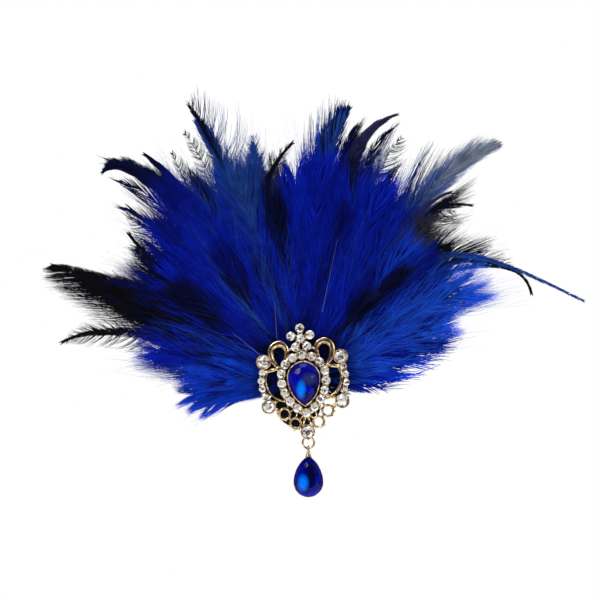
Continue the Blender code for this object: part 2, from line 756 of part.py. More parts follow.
def plume_spine(plume):
    """Points on a Hermite curve from the head to the tip, in the fan's plane, with its depth."""
    root_heading = math.radians(plume.root_heading)
    tip_heading = math.radians(plume.tip_heading)
    root_way = Vector((math.cos(root_heading), math.sin(root_heading)))
    tip_way = Vector((math.cos(tip_heading), math.sin(tip_heading)))
    root = Vector((0.2 * HEAD_WIDTH * root_way.x, 0.25 * HEAD_HEIGHT * root_way.y))
    tip = Vector((plume.across * FAN_WIDTH, plume.up * FAN_HEIGHT))
    pull = (tip - root).length
    points = []
    for index in range(PLUME_SECTIONS):
        t = index / (PLUME_SECTIONS - 1)
        place = (
            root * (2 * t**3 - 3 * t**2 + 1)
            + root_way * pull * (t**3 - 2 * t**2 + t)
            + tip * (3 * t**2 - 2 * t**3)
            + tip_way * pull * 0.6 * (t**3 - t**2)
        )
        free = max(0.0, t - PLUME_FLAT_SHARE) / (1 - PLUME_FLAT_SHARE)
        points.append((place.x, place.y, plume.depth * FAN_DEPTH * free * free))
    return points


def plume_radii(plume):
    """Half widths along a strip: narrow at the quill, broadest past the middle, pointed."""
    result = []
    for index in range(PLUME_SECTIONS):
        t = index / (PLUME_SECTIONS - 1)
        swell = 0.22 + 0.78 * math.sin(math.pi * min(1.0, t * 0.86)) ** 0.8
        taper = 1.0 if t < 0.75 else max(0.08, 1 - ((t - 0.75) / 0.25) ** 1.4)
        result.append(0.5 * plume.breadth * PLUME_WIDTH * swell * taper)
    return result


def add_fan(group, feather):
    """Every strip starts inside the quill head, and the union makes them one solid."""
    solids = guide_collection("fan_solids")
    half = PLUME_THICKNESS_SHARE
    lens = flat_outline("lens", [(1, 0), (0.5, -half), (-0.5, -half), (-1, 0), (-0.5, half), (0.5, half)], 0)
    lens.fill_mode = "NONE"
    profile = add_object("lens", lens, group)
    for plume in PLUMES:
        path = curve_path("plume", plume_spine(plume), radii=plume_radii(plume))
        path.bevel_mode = "OBJECT"
        path.bevel_object = profile
        strip = add_object("plume", path, solids, location=(0, HEAD_Y, 0))
        strip.rotation_euler = (math.pi / 2, 0, 0)
        frozen(strip)
    bpy.data.objects.remove(profile, do_unlink=True)
    head = turned_mesh("feather_fan", [
        (0, HEAD_THICKNESS / 2), (HEAD_WIDTH / 2, HEAD_THICKNESS / 2),
        (HEAD_WIDTH / 2, -HEAD_THICKNESS / 2), (0, -HEAD_THICKNESS / 2),
    ], 16)
    for vertex in head.vertices:
        vertex.co.y *= HEAD_HEIGHT / HEAD_WIDTH
    fan = add_object("feather_fan", head, group, location=(0, HEAD_Y, 0))
    fan.rotation_euler = (math.pi / 2, 0, 0)
    finish(joined(fan, solids), feather)


def main():
    clear_scene()
    group = guide_collection("feather_headpiece")
    gold = material("gold_tone", (0.62, 0.42, 0.17), 0.28, 1.0)
    clear_glass = material("clear_paste", (0.92, 0.93, 0.95), 0.05)
    blue_glass = material("blue_glass", (0.005, 0.01, 0.35), 0.05)
    felt = material("black_felt", (0.012, 0.012, 0.016), 0.95)
    feather = material("dyed_feather", (0.01, 0.03, 0.45), 0.7)
    steel = material("clip_steel", (0.55, 0.55, 0.56), 0.3, 1.0)
    add_fan(group, feather)
    add_pad(group, felt)
    add_clip(group, steel)
    brooch = add_brooch(group, gold, clear_glass, blue_glass)
    add_drop(group, brooch, gold, blue_glass)


main()
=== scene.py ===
"""The looks of the feather headpiece: barbed feathers, a cast brooch with foiled paste stones, a
pear drop on its jump ring, and the felt pad that carries them."""

import math
from collections import namedtuple
from itertools import combinations

import bmesh
import bpy
import numpy as np
from mathutils import Euler, Matrix, Vector


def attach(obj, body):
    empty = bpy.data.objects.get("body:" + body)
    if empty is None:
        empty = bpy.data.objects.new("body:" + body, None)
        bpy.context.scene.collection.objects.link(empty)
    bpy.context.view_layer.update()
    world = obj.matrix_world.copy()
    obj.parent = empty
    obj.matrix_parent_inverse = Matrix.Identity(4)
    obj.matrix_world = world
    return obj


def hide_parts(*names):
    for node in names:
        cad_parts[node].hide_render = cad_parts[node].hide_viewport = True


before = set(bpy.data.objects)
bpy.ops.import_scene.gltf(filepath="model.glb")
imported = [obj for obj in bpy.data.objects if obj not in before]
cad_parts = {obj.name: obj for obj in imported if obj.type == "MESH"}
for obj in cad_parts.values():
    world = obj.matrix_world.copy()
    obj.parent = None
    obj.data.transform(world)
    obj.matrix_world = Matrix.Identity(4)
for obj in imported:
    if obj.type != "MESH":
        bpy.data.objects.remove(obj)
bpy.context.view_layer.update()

MM = 0.001
SEED = 11

# Camera and stage
PICTURE_WIDTH = 200 * MM
LENS_MM = 100
SENSOR_MM = 36
CAMERA_ACROSS = -1.33 * MM
CAMERA_UP = 27.67 * MM
FLOOR_UP = -130 * MM
FLOOR_HALF = 300 * MM
LIGHTS_AIM = (0, 0, 20 * MM)

# Depths, from the clip forward
PAD_BACK_Y = -1.9 * MM
PAD_FACE_Y = -3.9 * MM
HEAD_Y = -5.7 * MM
BROOCH_BACK_Y = -7.5 * MM

# Felt pad
PAD_WIDTH = 15.3 * MM
PAD_TOP = 17.7 * MM
PAD_BOTTOM = 15.0 * MM
PAD_SHIFT = -2.0 * MM
FIBRES = 5000
FIBRE_POINTS = 4
FIBRE_LENGTH = 0.45 * MM
FIBRE_HALF_WIDTH = 0.025 * MM

# Feather fan
HEAD_WIDTH = 13 * MM
HEAD_HEIGHT = 18 * MM
FAN_WIDTH = 182 * MM
FAN_HEIGHT = 95 * MM
FAN_DEPTH = 22 * MM
FLAT_SHARE = 0.3
QUILL_RADIUS = 0.3 * MM
QUILL_SIDES = 5
QUILL_STEPS = 26
PALE_QUILL_STEPS = 8
FANS = 5
TRIANGLES_A_FAN = 172000
DENSITY_MOST = 1.9
FULL_LENGTH = 80 * MM
BARB_POWER = 0.8
BARB_SHORTEST = 1.2 * MM
BARB_LONGEST = 34 * MM
PALE_QUILL_DEPTH = 0.34
STRAY_SHARE = 0.05
STRAY_LENGTH = 1.4
# Painted shade, partly the feathers' darker bases: barbs darken within the end distance of the origin, down
# to the least share near the start distance
SHADE_START = 5 * MM
SHADE_END = 25 * MM
SHADE_LEAST = 0.15
DYE_BLEND = 0.14
MAP_MARGIN = 0.01
RIBBON_ON_MAP = np.array((-0.004, 0.004))

# Centre stone, its bezel and what all the settings share
CENTRE_WIDTH = 10 * MM
CENTRE_LENGTH = 14 * MM
CENTRE_CROWN = 1.9 * MM
CENTRE_PAVILION = 2.0 * MM
CUP_WALL = 0.65 * MM
CUP_FLOOR = 0.5 * MM
CUP_LIP = 0.45 * MM
CUP_RIM = 0.35 * MM
SEAT_GAP = 0.15 * MM
CENTRE_BEZEL_WALL = 0.55 * MM
BEZEL_ROOM = 0.05 * MM
BEZEL_STEPS = 72
PEAR_FACETS = 20

# Round stones, their cups and the prongs between them
HALO_DIAMETER = 2.9 * MM
ACCENT_DIAMETER = 4.2 * MM
SIDE_DIAMETER = 2.25 * MM
STONE_SPACING = 0.35 * MM
ROUND_CROWN_SHARE = 0.2
ROUND_PAVILION_SHARE = 0.3
GIRDLE = 0.2 * MM
TABLE_SHARE = 0.58
STONE_TILT = 0.06
CUP_ROOM = 0.03 * MM
PLAIN_WALL = 0.08 * MM
PLAIN_RIM = 0.02 * MM
MILLED_WALL = 0.30 * MM
MILLED_MIDDLE = 0.2 * MM
PRONG_RADIUS = 0.29 * MM
PRONG_ASIDE = 0.6 * MM
PRONG_UP = 0.16 * MM
PRONG_REACH = 0.7 * MM

# Brooch: where the larger stones stand from the middle of the centre stone
BROOCH_LEAN = math.radians(4.5)
UPPER_ACROSS = 12.8 * MM
UPPER_UP = 8.1 * MM
LOWER_ACROSS = 12.2 * MM
LOWER_DOWN = 6.7 * MM
FOOT_DOWN = 16.0 * MM
SIDE_BULGE = 1.6 * MM

# Scrolls, loops, lace, beads and the halo's band of the casting
SCROLL_HOLE_WIDTH = 4.1 * MM
SCROLL_HOLE_LENGTH = 7.1 * MM
SCROLL_ACROSS = 7.5 * MM
SCROLL_UP = 9.3 * MM
SCROLL_HEIGHT = 1.5 * MM
SCROLL_TOP_BREADTH = 2.0 * MM
SCROLL_OUTER_BREADTH = 1.6 * MM
SCROLL_INNER_BREADTH = 1.1 * MM
SCROLL_FOOT_BREADTH = 0.8 * MM
SIDE_LOOP_RADIUS = 7.0 * MM
SIDE_LOOP_ACROSS = 5.6 * MM
SIDE_LOOP_UP = 1.5 * MM
LACE_RING_RADIUS = 1.8 * MM
LACE_WIRE = 0.3 * MM
LINK_WIRE = 0.45 * MM
BEAD = 0.19 * MM
KNOB_RADIUS = 0.42 * MM
LUMP_RADIUS = 0.95 * MM
SCROLL_RIM = 0.18 * MM
SCROLL_STEPS = 48
BAND_RADIUS = 1.25 * MM
BAND_UP = 0.55 * MM
BAND_STEPS = 64

# Jump ring, bail and the drop's loop
RING_RADIUS = 1.9 * MM
WIRE_RADIUS = 0.3 * MM
SHOWN_WIRE_RADIUS = 0.34 * MM
RING_STEPS = 32
BAIL_RADIUS = 0.95 * MM
BAIL_SUNK = 0.35 * MM
BAIL_BEHIND = 0.2 * MM
DROP_LOOP_RADIUS = 1.0 * MM
LINK_GAP = 0.15 * MM

# Drop
DROP_STONE_WIDTH = 9.1 * MM
DROP_STONE_LENGTH = 13.1 * MM
DROP_CROWN = 1.9 * MM
DROP_PAVILION = 1.7 * MM
DROP_WALL = 0.35 * MM
DROP_BEZEL_WALL = 0.22 * MM
DROP_NECK_LENGTH = 0.9 * MM
DROP_NECK_RADII = (0.6 * MM, 0.75 * MM, 1.2 * MM)
DROP_NECK_BEAD = 0.62 * MM

# The two pears as they are shown
PearStone = namedtuple("PearStone", "width length crown pavilion")
CENTRE_PEAR = PearStone(CENTRE_WIDTH, CENTRE_LENGTH, CENTRE_CROWN, CENTRE_PAVILION)
DROP_PEAR = PearStone(
    DROP_STONE_WIDTH + DROP_WALL, DROP_STONE_LENGTH + DROP_WALL, DROP_CROWN, DROP_PAVILION)

# Lights: where each stands and how broad it is, in metres, and its power in watts
Light = namedtuple("Light", "name place size power")
LIGHTS = (
    Light("key", (-0.45, -0.75, 0.65), 0.35, 5.0),
    Light("fill", (0.6, -0.6, 0.15), 0.25, 1.3),
    Light("top", (0.0, -0.1, 0.8), 0.4, 2.5),
)

# Dyes, as linear red, green and blue
DYES = {
    "vivid": (0.013, 0.100, 0.80),
    "bright": (0.004, 0.050, 0.66),
    "royal": (0.001, 0.013, 0.46),
    "deep": (0.001, 0.006, 0.20),
    "steel": (0.014, 0.060, 0.32),
    "pale": (0.26, 0.31, 0.42),
    "lilac": (0.030, 0.030, 0.095),
    "navy": (0.002, 0.004, 0.040),
    "grey": (0.030, 0.031, 0.042),
    "black": (0.003, 0.003, 0.006),
    "quill": (0.10, 0.12, 0.30),
}

# One row a kind of feather: barbs on a side for a vane of full length, how far up the quill they
# start, their angles from the quill at its root and tip in degrees, how much of that angle they
# lose along their length, how far they wave in degrees, how strongly tips draw together, the
# barbs in a lock, how far they spread in depth, their width in millimetres, their steps, the share
# of the feather that the quill runs through, and how far ahead they reach, as a share of what is
# left of the feather there.
Kind = namedtuple(
    "Kind", "barbs bare root_angle tip_angle curl wave draw lock spread width steps quill ahead")
KINDS = {
    "fluff": Kind(1300, 0.06, 33, 9, 0.40, 13, 0.20, 14, 0.07, 0.12, 4, 0.84, 0.90),
    "tuft": Kind(1000, 0.06, 32, 18, 0.45, 8, 0.55, 60, 0.10, 0.15, 4, 0.90, 0.90),
    "under": Kind(320, 0.04, 34, 20, 0.40, 12, 0.15, 14, 0.05, 0.50, 3, 0.84, 0.90),
    "hackle": Kind(850, 0.20, 38, 27, 0.35, 4, 0.35, 5, 0.07, 0.18, 4, 0.97, 0.60),
    "blade": Kind(1300, 0.25, 36, 26, 0.30, 2, 0.20, 12, 0.02, 0.30, 3, 0.98, 0.60),
    "silk": Kind(600, 0.20, 34, 10, 0.25, 4, 0.25, 5, 0.06, 0.14, 5, 0.90, 0.80),
    "wisp": Kind(170, 0.25, 56, 46, 0.50, 8, 0.10, 3, 0.10, 0.17, 5, 0.97, 0.65),
    "strand": Kind(110, 0.25, 30, 14, 0.60, 4, 0.30, 3, 0.08, 0.26, 5, 0.95, 0.65),
}

# One row a feather. The tip stands at shares of the fan's width across and of its height up, the
# headings are degrees from +X at the root and at the tip, left and right are the vane's reach in
# millimetres on either side of the quill seen towards its tip, and the depth is how far forward the
# tip stands, as a share of the fan's depth. The second dye takes over from that share of the quill
# on, and the bend is how far the quill bows out between the two headings.
Feather = namedtuple(
    "Feather", "across up root_heading tip_heading left right depth kind dye tip_dye turns_at bend",
    defaults=(1.0,))
FEATHERS = [Feather(*row) for row in (
    (-0.474, 0.418, 148, 171, 13.0, 4.0, -0.20, "hackle", "navy", "black", 0.40),
    (-0.430, 0.390, 150, 170, 8.0, 5.0, -0.12, "hackle", "navy", "black", 0.38),
    (-0.395, 0.345, 152, 170, 9.0, 7.0, -0.05, "hackle", "navy", "black", 0.38),
    (-0.350, 0.270, 158, 172, 8.0, 7.0, 0.05, "hackle", "deep", "black", 0.50),
    (-0.450, 0.134, 162, 212, 6.0, 5.0, 0.10, "wisp", "deep", "black", 0.55, 1.3),
    (-0.450, 0.134, 162, 212, 2.5, 2.0, 0.12, "hackle", "deep", "black", 0.55, 1.3),
    (-0.377, 0.737, 115, 228, 3.5, 5.0, -0.35, "blade", "deep", "navy", 0.40),
    (-0.300, 0.812, 119, 152, 4.0, 2.0, -0.30, "blade", "deep", "navy", 0.45),
    (-0.250, 0.680, 127, 132, 8.0, 8.0, 0.15, "fluff", "royal", "deep", 0.80),
    (-0.330, 0.600, 134, 150, 8.0, 6.0, 0.05, "wisp", "deep", "navy", 0.60),
    (-0.352, 0.719, 128, 172, 6.0, 3.0, -0.28, "strand", "deep", "navy", 0.60),
    (-0.341, 0.625, 134, 166, 6.0, 3.0, -0.22, "strand", "deep", "navy", 0.60),
    (-0.310, 0.600, 134, 160, 5.0, 3.0, -0.20, "silk", "deep", "navy", 0.70),
    (-0.322, 0.530, 142, 122, 0.8, 1.2, 0.10, "blade", "navy", "black", 0.60),
    (-0.315, 0.480, 145, 140, 7.0, 8.0, 0.08, "wisp", "deep", "navy", 0.60),
    (-0.245, 0.825, 122, 110, 3.0, 6.0, 0.00, "wisp", "steel", "grey", 0.70),
    (-0.218, 1.000, 108, 131, 5.0, 12.0, 0.10, "wisp", "steel", "grey", 0.84),
    (-0.205, 0.930, 107, 125, 3.0, 8.0, 0.08, "hackle", "steel", "steel", 0.84),
    (-0.216, 0.985, 108, 129, 2.2, 3.5, 0.14, "hackle", "steel", "black", 0.76),
    (-0.205, 0.950, 108, 127, 0.9, 0.9, 0.32, "blade", "navy", "navy", 0.76),
    (-0.230, 0.905, 118, 131, 4.0, 5.0, -0.30, "wisp", "grey", "black", 0.70),
    (-0.095, 0.860, 106, 96, 6.0, 6.0, 0.05, "hackle", "steel", "steel", 0.60),
    (-0.095, 0.880, 106, 96, 7.0, 7.0, 0.05, "wisp", "steel", "steel", 0.60),
    (-0.011, 0.853, 104, 40, 2.0, 2.0, 0.30, "hackle", "navy", "black", 0.55, 1.7),
    (-0.011, 0.853, 104, 40, 6.0, 5.0, 0.28, "wisp", "navy", "grey", 0.60, 1.7),
    (0.088, 0.976, 86, 49, 7.5, 2.5, -0.15, "blade", "steel", "deep", 0.50),
    (0.080, 0.950, 86, 52, 6.0, 3.0, -0.12, "silk", "bright", "steel", 0.70),
    (0.088, 0.972, 86, 49, 9.0, 4.0, -0.08, "strand", "navy", "navy", 0.70),
    (0.085, 0.960, 86, 49, 8.0, 3.0, -0.04, "strand", "bright", "steel", 0.70),
    (0.108, 0.950, 82, 52, 2.0, 6.0, -0.10, "silk", "deep", "navy", 0.60),
    (0.176, 0.940, 72, 12, 3.0, 4.0, 0.20, "blade", "navy", "lilac", 0.75, 1.4),
    (0.185, 0.870, 68, 38, 3.0, 8.0, 0.10, "wisp", "steel", "grey", 0.75),
    (0.165, 0.900, 70, 30, 2.0, 8.0, 0.15, "strand", "steel", "navy", 0.70),
    (0.404, 0.862, 62, 6, 4.5, 3.5, -0.10, "silk", "steel", "pale", 0.66, 1.3),
    (0.406, 0.856, 62, 6, 3.5, 4.0, -0.14, "silk", "steel", "pale", 0.72, 1.3),
    (0.300, 0.790, 62, 24, 8.0, 2.0, -0.12, "strand", "steel", "navy", 0.60, 1.2),
    (0.273, 0.666, 56, 5, 2.0, 2.2, 0.35, "hackle", "deep", "lilac", 0.75),
    (0.326, 0.624, 50, -8, 1.0, 2.0, -0.35, "hackle", "navy", "black", 0.55, 1.9),
    (0.290, 0.605, 52, -8, 2.0, 12.0, -0.30, "wisp", "navy", "black", 0.50, 1.6),
    (0.300, 0.616, 51, -8, 1.5, 9.0, -0.28, "silk", "navy", "black", 0.50, 1.8),
    (0.265, 0.480, 46, -5, 4.0, 6.0, -0.20, "silk", "navy", "black", 0.50),
    (0.530, 0.272, 58, -25, 0.9, 1.6, 0.00, "hackle", "steel", "steel", 0.60, 2.1),
    (0.395, 0.385, 54, -30, 3.0, 1.5, -0.05, "hackle", "steel", "black", 0.60, 1.5),
    (0.395, 0.385, 54, -30, 7.0, 2.0, -0.04, "wisp", "black", "black", 0.60, 1.5),
    (0.350, 0.425, 54, -26, 6.0, 0.5, -0.03, "silk", "black", "black", 0.60, 1.4),
    (0.235, 0.520, 50, 8, 5.0, 5.0, 0.38, "fluff", "navy", "grey", 0.70),
    (0.422, 0.292, 56, -85, 1.4, 1.4, -0.25, "hackle", "steel", "black", 0.70, 1.5),
    (0.265, 0.175, 20, -15, 8.0, 6.0, 0.15, "fluff", "vivid", "vivid", 0.60),
    (0.205, 0.110, 12, -25, 7.0, 5.0, -0.30, "fluff", "vivid", "steel", 0.85),
    (0.158, 0.045, 4, -30, 5.0, 4.0, -0.10, "tuft", "vivid", "vivid", 0.60),
    (0.112, -0.020, -4, -40, 3.5, 2.5, 0.00, "tuft", "bright", "bright", 0.60),
    (-0.110, 0.025, 184, 205, 3.5, 5.0, -0.05, "tuft", "bright", "bright", 0.60),
    (-0.150, -0.035, 184, 225, 5.0, 6.0, -0.15, "tuft", "bright", "bright", 0.60),
    (-0.178, -0.095, 172, 240, 6.0, 7.0, 0.05, "tuft", "bright", "bright", 0.60),
    (-0.200, -0.070, 175, 232, 7.0, 8.0, -0.10, "tuft", "bright", "bright", 0.60),
    (-0.130, -0.010, 184, 222, 6.0, 6.0, 0.12, "tuft", "bright", "bright", 0.60),
    (-0.215, -0.050, 178, 215, 6.0, 7.0, -0.20, "tuft", "bright", "steel", 0.80),
    (-0.285, 0.105, 168, 180, 8.0, 9.0, 0.25, "fluff", "steel", "royal", 0.60),
    (-0.310, 0.290, 156, 160, 9.0, 9.5, 0.20, "fluff", "navy", "black", 0.62),
    (-0.305, 0.410, 146, 150, 9.0, 9.5, -0.30, "fluff", "royal", "navy", 0.80),
    (-0.262, 0.560, 134, 138, 9.5, 9.5, 0.25, "fluff", "royal", "deep", 0.85),
    (-0.195, 0.690, 120, 118, 9.0, 9.0, -0.25, "fluff", "steel", "steel", 0.60),
    (-0.125, 0.740, 108, 106, 8.5, 8.5, 0.35, "fluff", "royal", "steel", 0.70),
    (-0.060, 0.700, 98, 96, 8.0, 8.0, -0.40, "fluff", "deep", "deep", 0.60),
    (0.030, 0.760, 90, 84, 10.0, 10.0, 0.40, "fluff", "royal", "royal", 0.70),
    (0.100, 0.780, 80, 70, 9.0, 9.0, -0.30, "fluff", "royal", "royal", 0.60),
    (0.150, 0.680, 70, 60, 9.0, 9.0, 0.40, "fluff", "deep", "royal", 0.60),
    (0.180, 0.600, 60, 46, 9.0, 9.0, -0.20, "fluff", "royal", "steel", 0.85),
    (0.200, 0.480, 48, 38, 9.5, 9.5, 0.35, "fluff", "royal", "bright", 0.70),
    (0.240, 0.390, 36, 22, 9.0, 9.0, -0.30, "fluff", "deep", "bright", 0.70),
    (0.322, 0.305, 32, -5, 9.0, 9.0, 0.35, "fluff", "vivid", "vivid", 0.60, 1.2),
    (-0.059, 0.680, 98, 100, 3.5, 3.5, 0.55, "fluff", "navy", "navy", 0.50),
    (-0.158, 0.474, 128, 130, 3.5, 3.5, 0.42, "fluff", "navy", "deep", 0.75),
    (-0.235, 0.330, 149, 156, 5.0, 4.5, 0.34, "fluff", "deep", "navy", 0.50),
    (0.077, 0.660, 80, 78, 2.5, 2.5, 0.50, "fluff", "deep", "deep", 0.50),
    (0.190, 0.400, 44, 40, 3.0, 3.5, 0.45, "fluff", "navy", "navy", 0.60),
    (0.120, 0.300, 60, 56, 3.5, 3.5, 0.55, "fluff", "navy", "navy", 0.50),
    (0.066, -0.045, -5, -32, 4.5, 2.5, 0.06, "under", "navy", "navy", 0.50),
    (0.068, 0.030, 12, 0, 4.0, 4.5, 0.08, "under", "navy", "navy", 0.50),
    (0.046, 0.140, 54, 64, 3.5, 3.5, 0.08, "under", "navy", "navy", 0.50),
    (-0.055, 0.135, 126, 120, 3.5, 3.5, 0.08, "under", "black", "navy", 0.50),
    (-0.068, 0.025, 170, 180, 4.5, 4.0, 0.08, "under", "black", "navy", 0.50),
    (-0.064, -0.050, 186, 212, 2.5, 4.5, 0.06, "under", "black", "black", 0.50),
)]

# How far the short feathers of the undercoat reach, in millimetres, by their heading in degrees
UNDERCOAT = {10: 28, 15: 42, 25: 57, 45: 62, 70: 70, 90: 68, 110: 76, 130: 72, 150: 58, 165: 48, 180: 30}
UNDERCOAT_FEATHERS = 30

# Bare pale quills that show in front of the fluff, in millimetres from the origin
Quill = namedtuple("Quill", "across up to_across to_up")
QUILLS = (
    Quill(-23.7, 17.0, -14.7, 9.5),
    Quill(-9.7, 27.7, -9.0, 15.0),
    Quill(11.0, 47.7, 6.0, 23.7),
)


# Mesh building

class Shape:
    """Places and faces that are gathered into one mesh."""

    def __init__(self):
        self.places = []
        self.faces = []
        self.count = 0

    def add(self, places, faces):
        self.places.append(np.asarray(places, float).reshape(-1, 3))
        self.faces += [tuple(corner + self.count for corner in face) for face in faces]
        self.count += len(self.places[-1])

    def mesh(self, name):
        mesh = bpy.data.meshes.new(name)
        mesh.from_pydata(np.concatenate(self.places).tolist(), [], self.faces)
        return mesh


def new_object(name, data):
    """An object that is linked into the scene."""
    item = bpy.data.objects.new(name, data)
    bpy.context.scene.collection.objects.link(item)
    return item


def shown(name, shape, surface, body, nodes, smooth=True, place=None):
    """A piece of the object, riding on its body in place of these CAD nodes."""
    mesh = shape.mesh(name)
    if place is not None:
        mesh.transform(place)
    mesh.update()
    item = new_object(name, mesh)
    mesh.materials.append(surface)
    mesh.polygons.foreach_set("use_smooth", [smooth] * len(mesh.polygons))
    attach(item, body)
    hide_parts(*nodes)


def grid_faces(rings, around, closed=False):
    """Faces between rings of points, with the rings joined into a loop if closed."""
    faces = []
    for ring in range(rings if closed else rings - 1):
        following = (ring + 1) % rings
        for index in range(around):
            after = (index + 1) % around
            faces.append((ring * around + index, following * around + index,
                          following * around + after, ring * around + after))
    return faces


def loft(shape, sections):
    """A solid through rings that have the same number of points."""
    count = len(sections[0])
    last = (len(sections) - 1) * count
    faces = grid_faces(len(sections), count)
    faces.append(tuple(range(count)))
    faces.append(tuple(range(last + count - 1, last - 1, -1)))
    shape.add(np.concatenate([np.asarray(section, float) for section in sections]), faces)


def rings_round(points, radii, side, normal, sides):
    """A ring of points round each of these points, between its side and the normal."""
    turn = np.arange(sides) * 2 * math.pi / sides
    return points[:, None] + radii[:, None, None] * (
        np.cos(turn)[:, None] * side[:, None] + np.sin(turn)[:, None] * normal)


def tube(shape, points, radii, sides, closed=False, normal=(0, 0, 1), flatness=1.0):
    """A wire through points of one plane, whose normal is given, flattened along that normal."""
    points = np.asarray(points, float)
    radii = np.broadcast_to(np.asarray(radii, float), len(points))
    normal = np.asarray(normal, float)
    if closed:
        along = np.roll(points, -1, 0) - np.roll(points, 1, 0)
    else:
        along = np.gradient(points, axis=0)
    side = unit(np.cross(unit(along), normal))
    faces = grid_faces(len(points), sides, closed)
    if not closed:
        last = (len(points) - 1) * sides
        faces.append(tuple(range(sides - 1, -1, -1)))
        faces.append(tuple(range(last, last + sides)))
    shape.add(rings_round(points, radii, side, flatness * normal, sides), faces)


def bead(shape, place, radius, sides, rings):
    """A small ball."""
    across, up, height = place
    points = [(across, up, height - radius)]
    faces = []
    for ring in range(1, rings):
        tilt = math.pi * ring / rings
        low = height - radius * math.cos(tilt)
        points += ring_points(place, radius * math.sin(tilt), low, sides).tolist()
    points.append((across, up, height + radius))
    for first, second, third, fourth in grid_faces(rings - 1, sides):
        faces.append((1 + first, 1 + fourth, 1 + third, 1 + second))
    top = len(points) - 1
    for index in range(sides):
        after = (index + 1) % sides
        faces.append((0, 1 + after, 1 + index))
        faces.append((top, top - sides + index, top - sides + after))
    shape.add(points, faces)


def unit(vectors):
    """The same directions, each of length 1."""
    return vectors / np.linalg.norm(vectors, axis=-1)[..., None]


def arc_points(centre, radius, start, end, steps):
    """Points on an arc between two angles in degrees."""
    turns = np.radians(np.linspace(start, end, steps + 1))
    return np.stack([centre[0] + radius * np.cos(turns), centre[1] + radius * np.sin(turns)], 1)


def ring_points(centre, radius, height, count, start=0.0):
    """Evenly spaced points of a circle at one height."""
    turns = (np.arange(count) + start) * 2 * math.pi / count
    return np.stack([centre[0] + radius * np.cos(turns), centre[1] + radius * np.sin(turns),
                     np.full(count, height)], 1)


def at_height(points, height):
    return [(point[0], point[1], height) for point in points]


class Pear:
    """A pear outline, round at the top and pointed below: one top arc and two flatter side arcs."""

    def __init__(self, width, length, offset=0.0):
        half = width / 2
        drop = length - half
        self.centre_up = length / 2 - half
        side = (drop * drop + half * half) / (2 * half)
        self.inset = side - half
        self.top_radius = half + offset
        self.side_radius = side + offset
        self.side_angle = math.acos(self.inset / self.side_radius)
        self.top_length = math.pi / 2 * self.top_radius
        self.half_length = self.top_length + self.side_angle * self.side_radius
        self.perimeter = 2 * self.half_length

    def at(self, distance):
        """The point that lies this far clockwise from the top, and the outward direction."""
        distance = distance % self.perimeter
        if distance > self.half_length:
            point, outward = self.at(self.perimeter - distance)
            return (-point[0], point[1]), (-outward[0], outward[1])
        if distance < self.top_length:
            angle = distance / self.top_radius
            outward = (math.sin(angle), math.cos(angle))
            return (outward[0] * self.top_radius, self.centre_up + outward[1] * self.top_radius), outward
        angle = (distance - self.top_length) / self.side_radius
        outward = (math.cos(angle), -math.sin(angle))
        across = outward[0] * self.side_radius - self.inset
        return (across, self.centre_up + outward[1] * self.side_radius), outward

    def ring(self, count, height=0.0, share=1.0, start=0.0):
        """Evenly spaced points of the outline, shrunk to a share of it."""
        points = [self.at(self.perimeter * (index + start) / count)[0] for index in range(count)]
        return [(across * share, up * share, height) for across, up in points]


# Materials

def surface(name):
    """A new material, its node tree and its main shader."""
    result = bpy.data.materials.new(name)
    result.use_nodes = True
    return result, result.node_tree, result.node_tree.nodes["Principled BSDF"]


def fill(tree, target, inputs):
    """Sets a node's inputs, and links those for which another node's output is given."""
    for name, value in inputs.items():
        if isinstance(value, bpy.types.NodeSocket):
            tree.links.new(value, target.inputs[name])
        else:
            target.inputs[name].default_value = value


def node(tree, kind, output, inputs, **settings):
    """The output of a new node with these inputs and settings."""
    result = tree.nodes.new("ShaderNode" + kind)
    for name, value in settings.items():
        setattr(result, name, value)
    fill(tree, result, inputs)
    return result.outputs[output]


def noise(tree, scale, detail):
    """A pattern fixed to the object, whose cells are about one over the scale in metres."""
    places = node(tree, "TexCoord", "Object", {})
    return node(tree, "TexNoise", "Fac", {"Vector": places, "Scale": scale, "Detail": detail})


def ramp(tree, source, stops):
    """Colours spread over a value, from (place, colour) stops."""
    result = tree.nodes.new("ShaderNodeValToRGB")
    elements = result.color_ramp.elements
    while len(elements) < len(stops):
        elements.new(0.5)
    for element, (place, colour) in zip(elements, stops):
        element.position = place
        element.color = (*colour, 1.0)
    tree.links.new(source, result.inputs["Fac"])
    return result.outputs["Color"]


def painted_facet_reflections(tree, scale, stops):
    """Cells of one colour each, taken from the stops: painted reflections, light and dark, standing in for
    the facets over the foil.
    """
    places = node(tree, "TexCoord", "Object", {})
    cells = node(tree, "TexVoronoi", "Color", {"Vector": places, "Scale": scale})
    return ramp(tree, node(tree, "SeparateColor", "Red", {"Color": cells}), stops)


def feather_surface():
    """Dyed barbs: the colour at each point, dye darkened near the brooch partly by painted shade, mottled a
    little, with hardly any gloss.
    """
    result, tree, shader = surface("dyed_barbs")
    dye = node(tree, "VertexColor", "Color", {}, layer_name="dye")
    mottle = ramp(tree, noise(tree, 260.0, 4.0), [(0.30, (0.70, 0.70, 0.74)), (0.68, (1.2, 1.2, 1.15))])
    colour = node(tree, "Mix", "Result", {"Factor": 1.0, "A": dye, "B": mottle},
                  data_type="RGBA", blend_type="MULTIPLY")
    fill(tree, shader, {"Base Color": colour, "Roughness": 0.5, "Specular IOR Level": 0.06})
    return result


